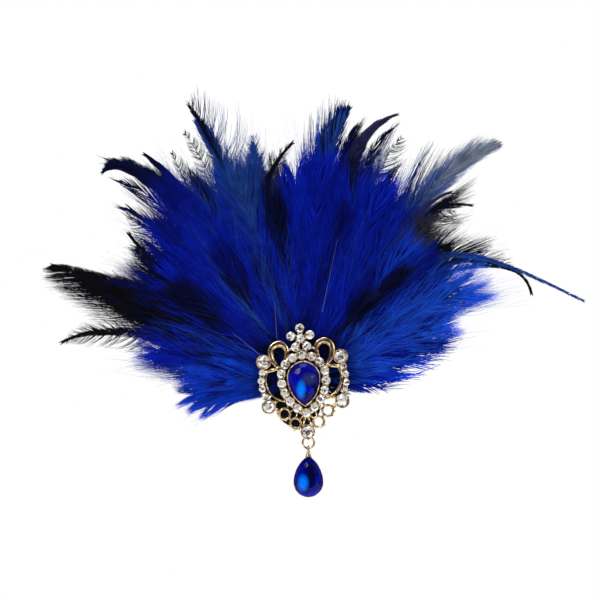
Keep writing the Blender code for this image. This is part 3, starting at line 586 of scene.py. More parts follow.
def gold_surface():
    """Gold-tone plate, slightly uneven, with dark brown patches from noise that are partly tarnish and
    partly painted shade.
    """
    result, tree, shader = surface("gold_plate")
    tarnish_and_shade = noise(tree, 900.0, 4.0)
    # Noise spreads the colour from dark brown, partly tarnish and partly painted shade, to pale gold
    colour = ramp(tree, tarnish_and_shade, [
        (0.34, (0.15, 0.085, 0.036)), (0.54, (0.74, 0.55, 0.32)), (0.72, (0.92, 0.78, 0.54))])
    uneven = node(tree, "Bump", "Normal", {"Height": tarnish_and_shade, "Distance": 0.05 * MM, "Strength": 0.5})
    fill(tree, shader, {"Base Color": colour, "Metallic": 1.0, "Roughness": 0.24, "Normal": uneven})
    return result


def paste_surface():
    """Clear paste over foil, with white, grey and dark patches of painted reflection where the facets behind
    would throw light.
    """
    result, tree, shader = surface("foiled_paste")
    # Painted reflections: dark, grey and white cells in place of the facets' own light and shade
    colour = painted_facet_reflections(tree, 1500.0, [
        (0.0, (0.045, 0.03, 0.024)), (0.22, (0.27, 0.23, 0.21)), (0.40, (0.98, 0.94, 0.89)),
        (1.0, (1.0, 0.99, 0.96))])
    fill(tree, shader, {"Base Color": colour, "Metallic": 0.4, "Roughness": 0.07, "Coat Weight": 1.0,
                        "Coat Roughness": 0.02})
    return result


# A painted patch on a blue stone, bright for painted light where the foil would light it up and dark for
# painted shade where it would leave it dark:
# its place on the stone, how quickly it fades across and up, its colour, and how far it reaches, in
# millimetres
Patch = namedtuple("Patch", "across up narrow colour reach")
CENTRE_PAINTED_PATCHES = (
    Patch(1.6, 1.6, 0.8, (0.020, 0.030, 0.16), 2.6),
    Patch(-0.9, -1.8, 2.0, (0.0, 0.20, 1.0), 3.6),
)
DROP_PAINTED_PATCHES = (
    Patch(1.0, 0.0, 3.2, (0.001, 0.002, 0.022), 5.0),
    Patch(-1.8, -2.0, 1.5, (0.0, 0.18, 1.0), 3.3),
)


def blue_surface(name, patches, place):
    """Foiled blue glass: cells of several depths of blue as painted facet reflections, and painted patches
    of light and of shade.
    """
    result, tree, shader = surface(name)
    # Painted reflections: cells from near black to mid blue, as the facets would show
    colour = painted_facet_reflections(tree, 420.0, [
        (0.0, (0.0, 0.0, 0.06)), (0.4, (0.0, 0.001, 0.16)), (0.75, (0.001, 0.002, 0.30)),
        (1.0, (0.002, 0.006, 0.45))])
    places = node(tree, "TexCoord", "Object", {})
    # Each patch paints a spot over the cells: painted light where its colour is bright, painted shade where
    # it is dark
    for patch in patches:
        middle = place + Vector((patch.across * MM, 0, patch.up * MM))
        away = node(tree, "VectorMath", "Vector", {0: places, 1: middle}, operation="SUBTRACT")
        narrowed = node(tree, "VectorMath", "Vector", {0: away, 1: (patch.narrow, 0.5, 1.0)},
                        operation="MULTIPLY")
        length = node(tree, "VectorMath", "Value", {0: narrowed}, operation="LENGTH")
        near = node(tree, "MapRange", "Result", {
            "Value": length, "From Min": patch.reach * MM, "From Max": 0.35 * patch.reach * MM})
        colour = node(tree, "Mix", "Result", {"Factor": near, "A": colour, "B": (*patch.colour, 1.0)},
                      data_type="RGBA")
    fill(tree, shader, {"Base Color": colour, "Roughness": 0.12, "Specular IOR Level": 0.12})
    return result


def felt_surface():
    """Matte black felt with a faint matted grain."""
    result, tree, shader = surface("matted_felt")
    grain = noise(tree, 2600.0, 5.0)
    colour = ramp(tree, grain, [(0.35, (0.002, 0.002, 0.003)), (0.70, (0.014, 0.014, 0.018))])
    matting = node(tree, "Bump", "Normal", {"Height": grain, "Distance": 0.15 * MM, "Strength": 1.0})
    fill(tree, shader, {"Base Color": colour, "Roughness": 0.95, "Specular IOR Level": 0.1,
                        "Normal": matting})
    return result


def steel_surface():
    """Spring steel, brushed along its length."""
    result, tree, shader = surface("brushed_spring_steel")
    places = node(tree, "TexCoord", "Object", {})
    stretched = node(tree, "Mapping", "Vector", {"Vector": places, "Scale": (60.0, 60.0, 1.0)})
    lines = node(tree, "TexNoise", "Fac", {"Vector": stretched, "Scale": 120.0, "Detail": 3.0})
    colour = ramp(tree, lines, [(0.3, (0.42, 0.42, 0.43)), (0.7, (0.66, 0.66, 0.67))])
    fill(tree, shader, {"Base Color": colour, "Metallic": 1.0, "Roughness": 0.32})
    return result


# Feathers

def drift(places, knots, chance):
    """Values from -1 to 1 that change smoothly over places from 0 to 1."""
    values = chance.uniform(-1, 1, knots + 2)
    spot = np.asarray(places) * knots
    low = spot.astype(int)
    share = spot - low
    share = share * share * (3 - 2 * share)
    return values[low] * (1 - share) + values[low + 1] * share


def undercoat():
    """Short dark feathers behind and between the others, so that no light comes through."""
    chance = np.random.default_rng(SEED)
    known = list(UNDERCOAT)
    rows = []
    for index in range(UNDERCOAT_FEATHERS):
        heading = known[0] + (known[-1] - known[0]) * (index + 0.5) / UNDERCOAT_FEATHERS
        reach = np.interp(heading, known, list(UNDERCOAT.values())) * chance.uniform(0.85, 1.08)
        across = reach * MM * math.cos(math.radians(heading)) / FAN_WIDTH
        up = reach * MM * math.sin(math.radians(heading)) / FAN_HEIGHT
        turned = heading + chance.uniform(-10, 10)
        edge = heading < 45 or heading > 165
        dye = (("royal", "bright", "deep") if edge else ("deep", "navy", "royal"))[index % 3]
        depth = (-0.45, -0.10, 0.12)[index % 3]
        rows.append(Feather(across, up, turned, turned, 8.0, 8.0, depth, "under", dye, dye, 0.5))
    return rows


def spine(feather, places):
    """Across, up and depth of the quill at shares of its length, and its heading."""
    root_heading = math.radians(feather.root_heading)
    tip_heading = math.radians(feather.tip_heading)
    root_way = np.array((math.cos(root_heading), math.sin(root_heading)))
    tip_way = np.array((math.cos(tip_heading), math.sin(tip_heading)))
    root = np.array((0.2 * HEAD_WIDTH, 0.25 * HEAD_HEIGHT)) * root_way
    tip = np.array((feather.across * FAN_WIDTH, feather.up * FAN_HEIGHT))
    pull = np.linalg.norm(tip - root) * feather.bend
    t = np.asarray(places)[:, None] * KINDS[feather.kind].quill
    flat = (root * (2 * t**3 - 3 * t**2 + 1) + root_way * pull * (t**3 - 2 * t**2 + t)
            + tip * (3 * t**2 - 2 * t**3) + tip_way * pull * 0.6 * (t**3 - t**2))
    slope = (root * (6 * t**2 - 6 * t) + root_way * pull * (3 * t**2 - 4 * t + 1)
             + tip * (6 * t - 6 * t**2) + tip_way * pull * 0.6 * (3 * t**2 - 2 * t))
    free = np.maximum(0, t - FLAT_SHARE) / (1 - FLAT_SHARE)
    return np.hstack([flat, feather.depth * FAN_DEPTH * free * free]), np.arctan2(slope[:, 1], slope[:, 0])


def vane_share(places, kind):
    """How far the vane reaches at shares of the quill, as a share of its full reach."""
    if kind in ("fluff", "tuft", "under"):
        return np.minimum(1, places / 0.25) ** 0.5 * (1 - 0.5 * places**3)
    falling = 0.6 if kind in ("blade", "hackle") else 0.4
    rise = np.minimum(1, places / 0.40) ** 0.6
    fall = np.minimum(1, (1 - places) / falling) ** 0.75
    return rise * fall


class Strips:
    """Ribbons of the same kind of faces, with a colour at each point, for barbs dye with painted shade near
    the brooch, and a spot on the dye map.
    """

    def __init__(self):
        self.places = []
        self.dyes = []
        self.spots = []
        self.faces = []
        self.count = 0

    def add(self, places, dyes, spots, faces):
        self.places.append(places.reshape(-1, 3))
        self.dyes.append(dyes.reshape(-1, 3))
        self.spots.append(spots.reshape(-1, 2))
        self.faces.append(faces + self.count)
        self.count += len(self.places[-1])

    def mesh(self, name):
        places, dyes, spots, faces = (
            np.concatenate(parts) for parts in (self.places, self.dyes, self.spots, self.faces))
        mesh = bpy.data.meshes.new(name)
        mesh.vertices.add(len(places))
        mesh.vertices.foreach_set("co", places.astype(np.float32).ravel())
        mesh.loops.add(faces.size)
        mesh.loops.foreach_set("vertex_index", faces.astype(np.int32).ravel())
        mesh.polygons.add(len(faces))
        mesh.polygons.foreach_set("loop_start", np.arange(0, faces.size, 4, dtype=np.int32))
        mesh.update(calc_edges=True)
        layer = mesh.color_attributes.new("dye", "FLOAT_COLOR", "POINT")
        full = np.hstack([dyes, np.ones((len(dyes), 1))])
        layer.data.foreach_set("color", full.astype(np.float32).ravel())
        spot_layer = mesh.uv_layers.new(name="OFBake")
        spot_layer.data.foreach_set("uv", spots[faces.ravel()].astype(np.float32).ravel())
        return mesh


def ribbon_faces(ribbons, rows, wide=2, closed=False):
    """Quads of ribbons, each with rows of points side by side."""
    start = (np.arange(ribbons) * rows * wide)[:, None, None]
    row = (np.arange(rows - 1) * wide)[None, :, None]
    across = np.arange(wide if closed else wide - 1)[None, None, :]
    after = (across + 1) % wide
    low = start + row
    quads = np.stack([low + across, low + after, low + wide + after, low + wide + across], -1)
    return quads.reshape(-1, 4)


def world_places(flat):
    """Places in the fan's plane, with their depth, as places of the row frame."""
    return upright(flat, HEAD_Y - flat[..., 2])


def upright(flat, depth):
    """Places across and up, at a depth, as places of the row frame."""
    return np.stack([flat[..., 0], np.broadcast_to(depth, flat.shape[:-1]), flat[..., 1]], -1)


def on_map(spots, cell):
    """Spots of a feather's own square, from 0 to 1, as spots of the whole dye map."""
    across, up, grid = cell
    return (spots * (1 - 2 * MAP_MARGIN) + MAP_MARGIN + np.array((across, up))) / grid


def turned_at(feather, places):
    """How far the second dye has taken over at shares of the quill."""
    return np.clip((places - feather.turns_at) / DYE_BLEND + 0.5, 0, 1)


def blend(feather, turned):
    return np.array(DYES[feather.dye]) * (1 - turned) + np.array(DYES[feather.tip_dye]) * turned


def tip_reach(feather):
    """How far a feather's tip stands from the origin."""
    return np.hypot(feather.across * FAN_WIDTH, feather.up * FAN_HEIGHT)


def barb_share(tip):
    """The share of its kind's barbs that a feather with its tip at this distance has."""
    return (tip / FULL_LENGTH) ** BARB_POWER


def barbs(feather, side, cell, density, strips, chance):
    """One vane: ribbons that leave the quill, curve towards its tip and draw together in locks."""
    kind = KINDS[feather.kind]
    reach = (feather.left if side > 0 else feather.right) * MM
    tip = tip_reach(feather)
    count = int(kind.barbs * density * barb_share(tip))
    start = np.sort(kind.bare + (1 - kind.bare) * chance.uniform(0, 1, count))
    root, heading = spine(feather, start)

    # The angle and length of each barb
    angle = np.radians(kind.root_angle + (kind.tip_angle - kind.root_angle) * start)
    angle *= 1 + 0.22 * drift(start, 14, chance) + chance.normal(0, 0.12, count)
    width_here = vane_share(start, feather.kind) * reach
    length = width_here / np.sin(np.maximum(angle, 0.25)) / (1 - 0.45 * kind.curl)
    length *= 1 + 0.16 * drift(start, 22, chance) + chance.normal(0, 0.10, count)
    room = ((1 - start * kind.quill) * tip + 1.0 * MM) * kind.ahead * chance.uniform(0.75, 1.2, count)
    length = np.clip(np.minimum(length, room / np.cos(angle)), BARB_SHORTEST, BARB_LONGEST)
    stray = (chance.uniform(0, 1, count) < STRAY_SHARE) & (feather.kind in ("fluff", "tuft"))
    length = np.where(stray, STRAY_LENGTH * length, length)

    # Its course in the fan's plane, waving as its lock does, and its depth
    lock = (np.arange(count) / kind.lock + chance.uniform(0, 0.35, count)).astype(int)
    locks = lock.max() + 1
    lock_wave = chance.uniform(0, 2 * math.pi, locks)[lock]
    steps = np.linspace(0, 1, kind.steps + 1)
    middle = (steps[1:] + steps[:-1]) / 2
    wave = math.radians(kind.wave) * np.sin(5.0 * middle + lock_wave[:, None])
    wave += math.radians(kind.wave) * 0.5 * chance.normal(0, 1, (count, 1)) * middle
    way = heading[:, None] + side * angle[:, None] * (1 - kind.curl * middle) + wave
    hop = length[:, None] / kind.steps
    flat = np.zeros((count, kind.steps + 1, 3))
    flat[:, 1:, 0] = np.cumsum(hop * np.cos(way), 1)
    flat[:, 1:, 1] = np.cumsum(hop * np.sin(way), 1)
    flat[:, :, :2] += root[:, None, :2]
    lift = chance.normal(0, 0.7, locks)[lock] + chance.normal(0, 0.7, count)
    flat[:, :, 2] = root[:, None, 2] + kind.spread * (lift * length)[:, None] * steps**1.3

    # The tips of a lock draw together
    sums = np.zeros((locks, 3))
    np.add.at(sums, lock, flat[:, -1])
    mean = sums / np.maximum(1, np.bincount(lock, minlength=locks))[:, None]
    draw = kind.draw * chance.uniform(0.6, 1.0, locks)[lock]
    flat += (draw[:, None] * steps**2)[..., None] * (mean[lock] - flat[:, -1])[:, None]

    # The two edges of the ribbon, twisted a little and narrower towards the tip
    ahead = unit(np.gradient(flat, axis=1))
    beside = np.stack([-ahead[..., 1], ahead[..., 0], np.zeros_like(ahead[..., 0])], -1)
    facing = np.cross(ahead, beside)
    twist = chance.normal(0, 0.3, (count, 1)) + 0.3 * steps * chance.normal(0, 1, (count, 1))
    edge = np.cos(twist)[..., None] * beside + np.sin(twist)[..., None] * facing
    half = 0.5 * kind.width * MM * (1 - 0.8 * steps**1.5) * chance.uniform(0.7, 1.3, (count, 1))
    half = np.where(stray[:, None], 0.6 * half, half)
    places = np.stack([flat - edge * half[..., None], flat + edge * half[..., None]], 2)

    # Its colour: dye uneven from lock to lock and lighter along each barb, darker near the brooch partly for
    # the feathers' dark bases and partly as painted shade
    turned = turned_at(feather, start + chance.normal(0, 0.05, count))
    turned = np.clip(turned[:, None] + 0.15 * steps, 0, 1)[..., None]
    bright = 1 + chance.normal(0, 0.10, locks)[lock] + chance.normal(0, 0.08, count)
    dyes = blend(feather, turned) * np.clip(bright, 0.35, 1.9)[:, None, None]
    dyes = dyes * (0.85 + 0.25 * steps[:, None])
    # Painted shade, partly the feathers' darker bases: darker close to the brooch
    away = np.hypot(flat[..., 0], flat[..., 1])
    dyes = dyes * np.clip((away - SHADE_START) / (SHADE_END - SHADE_START), SHADE_LEAST, 1)[..., None]

    spots = np.zeros((count, kind.steps + 1, 2, 2))
    spots[..., 0] = np.clip(start[:, None, None] + RIBBON_ON_MAP, 0, 1)
    spots[..., 1] = 0.5 + 0.48 * side * steps[:, None]
    strips.add(world_places(places), np.repeat(dyes[:, :, None], 2, 2), on_map(spots, cell),
               ribbon_faces(count, kind.steps + 1))


def rod(strips, cell, along, centre, side, radius, dyes, breadth):
    """A round rod through these centres, so broad on the dye map."""
    places = rings_round(centre, radius, side, np.array((0, 0, 1.0)), QUILL_SIDES)
    spots = np.zeros((len(along), QUILL_SIDES, 2))
    spots[..., 0] = along[:, None]
    spots[..., 1] = 0.5 + breadth * np.arange(QUILL_SIDES) / QUILL_SIDES
    strips.add(world_places(places[None]), np.repeat(dyes[:, None], QUILL_SIDES, 1),
               on_map(spots, cell), ribbon_faces(1, len(along), QUILL_SIDES, closed=True))


def quill(feather, cell, strips):
    """The quill that the barbs stand on."""
    along = np.linspace(0.05, 1, QUILL_STEPS)
    centre, heading = spine(feather, along)
    side = np.stack([-np.sin(heading), np.cos(heading), np.zeros_like(heading)], -1)
    dyes = 0.45 * blend(feather, turned_at(feather, along)[:, None])
    rod(strips, cell, along, centre, side, QUILL_RADIUS * (1.05 - along) ** 0.7, dyes, 0.01)


def pale_quill(row, cell, strips):
    """A bare stretch of quill in front of the fluff."""
    along = np.linspace(0, 1, PALE_QUILL_STEPS)
    start = np.array((row.across, row.up, 0)) * MM
    end = np.array((row.to_across, row.to_up, 0)) * MM
    centre = start * (1 - along[:, None]) + end * along[:, None]
    centre[:, 2] = PALE_QUILL_DEPTH * FAN_DEPTH * (1 - 0.6 * along)
    way = unit(end - start)
    side = np.tile((-way[1], way[0], 0), (PALE_QUILL_STEPS, 1))
    dyes = np.tile(DYES["quill"], (PALE_QUILL_STEPS, 1))
    rod(strips, cell, along, centre, side, (0.04 + 0.07 * along) * MM, dyes, 0.2)


def triangles_at_full(feather):
    """Barb triangles of a feather before its fan's share is known."""
    kind = KINDS[feather.kind]
    return 2 * kind.barbs * barb_share(tip_reach(feather)) * kind.steps * 2


def add_fan(barbed):
    """The feathers, dealt out to a few pieces so that each stays within its share of triangles."""
    feathers = [*FEATHERS, *undercoat()]
    for number in range(FANS):
        chance = np.random.default_rng(SEED + number)
        strips = Strips()
        rows = feathers[number::FANS]
        grid = math.ceil(math.sqrt(len(rows) + 1))
        density = min(DENSITY_MOST, TRIANGLES_A_FAN / sum(triangles_at_full(row) for row in rows))
        for index, feather in enumerate(rows):
            cell = (index % grid, index // grid, grid)
            quill(feather, cell, strips)
            for side in (1, -1):
                barbs(feather, side, cell, density, strips, chance)
        if number == 0:
            for row in QUILLS:
                pale_quill(row, (grid - 1, grid - 1, grid), strips)
        shown(f"feathers_{number + 1}", strips, barbed, "headpiece", ["feather_fan"],
              smooth=False)


# Felt pad

# Rings of the pad from its back to its face: the share of its outline, and of its thickness
PAD_ROWS = ((0.02, 0.0), (0.6, 0.0), (0.95, 0.0), (0.99, 0.25), (1.0, 0.5), (0.99, 0.75), (0.95, 1.0),
            (0.6, 1.0), (0.02, 1.0))


def pad_outline():
    """The pad's outline and its middle, across and up."""
    radius = PAD_WIDTH / 2
    top = arc_points((PAD_SHIFT, PAD_TOP - radius), radius, 0, 180, 20)
    bottom = arc_points((PAD_SHIFT, radius - PAD_BOTTOM), radius, 180, 360, 20)
    return np.concatenate([top, bottom]), np.array((PAD_SHIFT, (PAD_TOP - PAD_BOTTOM) / 2))


def add_pad(felt):
    """A pad with rounded edges."""
    outline, middle = pad_outline()
    shape = Shape()
    loft(shape, [
        upright(middle + (outline - middle) * share, PAD_BACK_Y + (PAD_FACE_Y - PAD_BACK_Y) * through)
        for share, through in PAD_ROWS])
    shown("felt", shape, felt, "headpiece", ["felt_pad"])


def add_fuzz(felt):
    """Short fibres that stand off the pad's face and edge."""
    chance = np.random.default_rng(SEED)
    outline, middle = pad_outline()
    share = np.sqrt(chance.uniform(0.05, 1.0, FIBRES))
    outward = (outline - middle)[chance.integers(0, len(outline), FIBRES)]
    start = upright(middle + outward * share[:, None], PAD_FACE_Y)
    way = unit(upright(outward, 0)) * (share**6)[:, None] + np.array((0, -0.35, 0))
    way = unit(way + 0.6 * chance.normal(0, 1, (FIBRES, 3)))
    steps = np.linspace(0, 1, FIBRE_POINTS)[:, None]
    bend = 0.5 * chance.normal(0, 1, (FIBRES, 1, 3))
    length = FIBRE_LENGTH * chance.uniform(0.4, 1.2, FIBRES)[:, None, None]
    flat = start[:, None] + length * (way[:, None] * steps + bend * steps**2)
    beside = unit(np.cross(way, np.array((0.3, 1.0, 0.2))))
    half = FIBRE_HALF_WIDTH * beside[:, None] * (1 - 0.7 * steps)
    places = np.stack([flat - half, flat + half], 2)
    spots = np.zeros(places.shape[:-1] + (2,))
    spots[..., 0] = chance.uniform(0.02, 0.98, FIBRES)[:, None, None] + RIBBON_ON_MAP
    spots[..., 1] = 0.02 + 0.96 * steps
    strips = Strips()
    strips.add(places, np.full(places.shape, 0.02), spots, ribbon_faces(FIBRES, FIBRE_POINTS))
    shown("felt_fuzz", strips, felt, "headpiece", ["felt_pad"], smooth=False)


# Brooch

# A stone in its place, across and up from the middle of the centre stone
Setting = namedtuple("Setting", "name place diameter walled")


def settings_of(kind, places, diameter, walled=False, digits=1):
    """Stones of one kind and size, numbered from 1."""
    return [Setting(f"{kind}_stone_{number:0{digits}d}", place, diameter, walled)
            for number, place in enumerate(places, 1)]


def halo_path():
    """The line that the halo stones stand on, outside the centre stone's wall."""
    return Pear(CENTRE_WIDTH, CENTRE_LENGTH, SEAT_GAP + CUP_WALL + HALO_DIAMETER / 2 + STONE_SPACING / 2)


def halo_settings():
    path = halo_path()
    count = int(path.perimeter / (HALO_DIAMETER + STONE_SPACING))
    count -= count % 2
    return settings_of("halo", [place[:2] for place in path.ring(count)], HALO_DIAMETER, digits=2)


# Crown stones from the top halo stone, in shares of the spacing between two stones
CrownPlace = namedtuple("CrownPlace", "across up")
CROWN = (
    CrownPlace(-0.58, 0.87),
    CrownPlace(0.58, 0.87),
    CrownPlace(0.00, 1.73),
    CrownPlace(-0.97, 2.01),
    CrownPlace(0.97, 2.01),
    CrownPlace(0.00, 2.76),
)


def crown_settings(top_up):
    pitch = HALO_DIAMETER + STONE_SPACING
    places = [(place.across * pitch, top_up + place.up * pitch) for place in CROWN]
    return settings_of("crown", places, HALO_DIAMETER)


def accent_settings():
    places = (
        (-UPPER_ACROSS, UPPER_UP),
        (UPPER_ACROSS, UPPER_UP),
        (-LOWER_ACROSS, -LOWER_DOWN),
        (LOWER_ACROSS, -LOWER_DOWN),
        (0, -FOOT_DOWN),
    )
    return settings_of("accent", places, ACCENT_DIAMETER, walled=True)


def side_settings():
    """Small stones evenly spaced on the arc that bulges between the two accents of a side."""
    upper = Vector((UPPER_ACROSS, UPPER_UP))
    lower = Vector((LOWER_ACROSS, -LOWER_DOWN))
    chord = (lower - upper).length
    outward = Vector((-(lower - upper).y, (lower - upper).x)).normalized()
    room = chord - ACCENT_DIAMETER
    count = max(1, int(room / (SIDE_DIAMETER + 0.5 * STONE_SPACING) + 0.05))
    arc = []
    for index in range(count):
        share = (ACCENT_DIAMETER / 2 + room * (index + 0.5) / count) / chord
        bulge = SIDE_BULGE * math.sin(math.pi * share) ** 1.6
        arc.append(upper.lerp(lower, share) + outward * bulge)
    places = [(side * place.x, place.y) for side in (-1, 1) for place in arc]
    return settings_of("side", places, SIDE_DIAMETER)


def nearest(settings, place, count=1):
    """The stones that stand nearest to a place."""
    return sorted(settings, key=lambda item: math.dist(item.place, place))[:count]


def girdle_height(pavilion):
    """How high a stone's girdle sits in its setting."""
    return CUP_FLOOR + SEAT_GAP + pavilion


def round_girdle(diameter):
    return girdle_height(ROUND_PAVILION_SHARE * diameter)


def cup(shape, setting):
    """A round cup: a plain one stops at the girdle, and a walled one has a milled rim over it."""
    radius = setting.diameter / 2
    rim = round_girdle(setting.diameter) + (CUP_RIM if setting.walled else PLAIN_RIM)
    inner = radius + CUP_ROOM
    outer = radius + (MILLED_WALL if setting.walled else PLAIN_WALL)
    rows = ((0.78 * outer, 0), (0.92 * outer, 0.3 * rim), (outer, 0.8 * rim), (outer, rim),
            (inner, rim), (0.97 * inner, 0.75 * rim), (0.5 * inner, 0.3 * rim))
    loft(shape, [ring_points(setting.place, wide, height, 20) for wide, height in rows])
    if setting.walled:
        middle = radius + MILLED_MIDDLE
        count = int(2 * math.pi * middle / (2.1 * BEAD))
        for point in ring_points(setting.place, middle, rim, count):
            bead(shape, point, BEAD, 6, 4)


def prongs(shape, settings):
    """Small beads of metal in the gaps between neighbouring stones."""
    for first, second in combinations(settings, 2):
        between = np.subtract(second.place, first.place)
        apart = np.linalg.norm(between)
        if apart > 0.5 * (first.diameter + second.diameter) + PRONG_REACH:
            continue
        beside = np.array((-between[1], between[0])) / apart
        middle = np.add(first.place, second.place) / 2
        height = round_girdle(min(first.diameter, second.diameter)) + PRONG_UP
        for offset in (-PRONG_ASIDE, PRONG_ASIDE):
            bead(shape, (*(middle + beside * offset), height), PRONG_RADIUS, 8, 5)


def bezel(shape, stone, wall, rim, milled=True):
    """A thin pear wall, with a milled rim or a plain one, and the floor under the stone."""
    inner = Pear(stone.width, stone.length, BEZEL_ROOM)
    outer = Pear(stone.width, stone.length, wall)
    count = BEZEL_STEPS
    loft(shape, [
        outer.ring(count, 0.0, 0.9), outer.ring(count, 0.4 * rim, 0.98), outer.ring(count, rim),
        inner.ring(count, rim), inner.ring(count, 0.7 * rim), inner.ring(count, CUP_FLOOR, 0.3),
    ])
    if milled:
        edge = Pear(stone.width, stone.length, 0.5 * wall + BEZEL_ROOM)
        for point in edge.ring(int(edge.perimeter / (2.05 * BEAD)), rim):
            bead(shape, point, BEAD, 6, 4)


def scroll_breadth(turn):
    """How broad a scroll is at this angle round its hole, clockwise from the top."""
    upright = SCROLL_TOP_BREADTH if math.cos(turn) > 0 else SCROLL_FOOT_BREADTH
    sideways = SCROLL_OUTER_BREADTH if math.sin(turn) > 0 else SCROLL_INNER_BREADTH
    return upright * math.cos(turn) ** 2 + sideways * math.sin(turn) ** 2


def scroll(shape, side):
    """A domed comma round a pear-shaped hole, with a thin bright rim inside it."""
    hole = Pear(SCROLL_HOLE_WIDTH, SCROLL_HOLE_LENGTH)
    points = []
    radii = []
    rim = []
    for index in range(SCROLL_STEPS):
        half = scroll_breadth(2 * math.pi * index / SCROLL_STEPS) / 2
        (across, up), outward = hole.at(hole.perimeter * index / SCROLL_STEPS)
        points.append((side * (SCROLL_ACROSS + across + outward[0] * half),
                       SCROLL_UP + up + outward[1] * half, SCROLL_HEIGHT * 0.45))
        radii.append(half)
        rim.append((side * (SCROLL_ACROSS + across), SCROLL_UP + up, SCROLL_HEIGHT * 0.62))
    tube(shape, points, radii, 16, closed=True, flatness=0.5)
    tube(shape, rim, SCROLL_RIM, 8, closed=True)


def lace_centre(side, along, inset):
    """A lace ring's centre, at a share of the line from the lower accent to the foot accent."""
    lower = Vector((LOWER_ACROSS, -LOWER_DOWN))
    foot = Vector((0, -FOOT_DOWN))
    line = foot - lower
    inward = Vector((line.y, -line.x)).normalized()
    place = lower + line * along + inward * inset * LACE_RING_RADIUS
    return side * place.x, place.y


# Lace rings: how far along from the lower accent to the foot, and inset in ring radii
LaceRing = namedtuple("LaceRing", "along inset")
LACE = (LaceRing(0.375, 0.42), LaceRing(0.685, 0.0))


def wire(shape, start, end, radius, height, sides=8):
    """A straight wire between two places, at one height."""
    tube(shape, at_height(np.linspace(start, end, 3), height), radius, sides)


def rim_wire(shape, centre, target, radius, height, to_rim=False):
    """A wire from a lace ring's rim to a place, or to the rim of the ring there."""
    start = Vector(centre)
    end = Vector(target)
    step = (end - start).normalized() * LACE_RING_RADIUS
    wire(shape, tuple(start + step), tuple(end - step) if to_rim else target, radius, height)


def lace(shape, halo):
    """Milled rings and crossing wires below the halo."""
    bottom = min(halo, key=lambda item: item.place[1])
    for side in (-1, 1):
        outer, inner = centres = [lace_centre(side, *row) for row in LACE]
        for centre in centres:
            loop = ring_points(centre, LACE_RING_RADIUS, 2.2 * LACE_WIRE, 24)
            tube(shape, loop, 1.35 * LACE_WIRE, 8, closed=True)
            for point in ring_points(centre, LACE_RING_RADIUS, 3.3 * LACE_WIRE, 22):
                bead(shape, point, 0.85 * BEAD, 6, 4)
            for item in nearest(halo, centre, 2):
                rim_wire(shape, centre, item.place, 1.1 * LACE_WIRE, 2 * LACE_WIRE)
            outward = Vector(centre).normalized()
            for turn in (-0.75, 0.0, 0.75):
                way = outward.copy()
                way.rotate(Matrix.Rotation(turn, 2))
                place = (centre[0] + way.x * (LACE_RING_RADIUS + LACE_WIRE),
                         centre[1] + way.y * (LACE_RING_RADIUS + LACE_WIRE), 1.8 * LACE_WIRE)
                bead(shape, place, KNOB_RADIUS, 8, 6)
        rim_wire(shape, outer, (side * LOWER_ACROSS, -LOWER_DOWN), 1.5 * LINK_WIRE, LINK_WIRE)
        rim_wire(shape, outer, inner, 0.9 * LINK_WIRE, LINK_WIRE, to_rim=True)
        rim_wire(shape, inner, (0, -FOOT_DOWN), LINK_WIRE, LINK_WIRE)
        near_foot = (side * 1.5 * MM, -FOOT_DOWN + 1.7 * MM)
        wire(shape, bottom.place, near_foot, LACE_WIRE * 1.3, 2 * LACE_WIRE)


def side_loops(shape, settings):
    """The wires round the openings beside the halo, and the lumps that carry them."""
    small, halo, crown = (
        [item for item in settings if item.name.startswith(kind)] for kind in ("side", "halo", "crown"))
    for side in (-1, 1):
        lower = (side * LOWER_ACROSS, -LOWER_DOWN)
        upper = (side * UPPER_ACROSS, UPPER_UP)
        chain = [item.place for item in small if item.place[0] * side > 0]
        tube(shape, at_height([upper, *chain, lower], LINK_WIRE), 1.3 * LINK_WIRE, 8)
        start, end, thick = (32, -82, 0.55 * MM) if side > 0 else (148, 262, 0.36 * MM)
        points = arc_points((side * SIDE_LOOP_ACROSS, SIDE_LOOP_UP), SIDE_LOOP_RADIUS, start, end, 24)
        tube(shape, at_height(points, 0.8 * MM), thick, 10)
        foot = (side * SCROLL_ACROSS, SCROLL_UP - 0.45 * SCROLL_HOLE_LENGTH - LINK_WIRE)
        wire(shape, foot, nearest(small, upper)[0].place, 0.75 * MM, 0.7 * MM, 10)
        wire(shape, foot, nearest(halo, foot)[0].place, 0.65 * MM, 0.7 * MM, 10)
        bead(shape, (foot[0] + side * 0.9 * MM, foot[1] - 0.1 * MM, 0.9 * MM), LUMP_RADIUS, 12, 8)
        inner_side = (side * (SCROLL_ACROSS - 0.6 * SCROLL_HOLE_WIDTH), SCROLL_UP + 0.45 * SCROLL_HOLE_WIDTH)
        wire(shape, inner_side, nearest(crown, inner_side)[0].place, 0.5 * MM, 0.6 * MM)
        wire(shape, points[-5], lower, 1.5 * LINK_WIRE, LINK_WIRE)


def bail_up():
    return -FOOT_DOWN - ACCENT_DIAMETER / 2 + BAIL_SUNK


def bail_height():
    return -WIRE_RADIUS - BAIL_BEHIND


def upright_ring(shape, centre, radius, wire_radius, plane):
    """A wire ring in the plane of two axes of the brooch, given as a pair of their numbers."""
    turns = np.arange(RING_STEPS) * 2 * math.pi / RING_STEPS
    points = np.zeros((RING_STEPS, 3)) + np.asarray(centre, float)
    points[:, plane[0]] += radius * np.cos(turns)
    points[:, plane[1]] += radius * np.sin(turns)
    normal = np.ones(3)
    normal[list(plane)] = 0
    tube(shape, points, wire_radius, 12, closed=True, normal=normal)


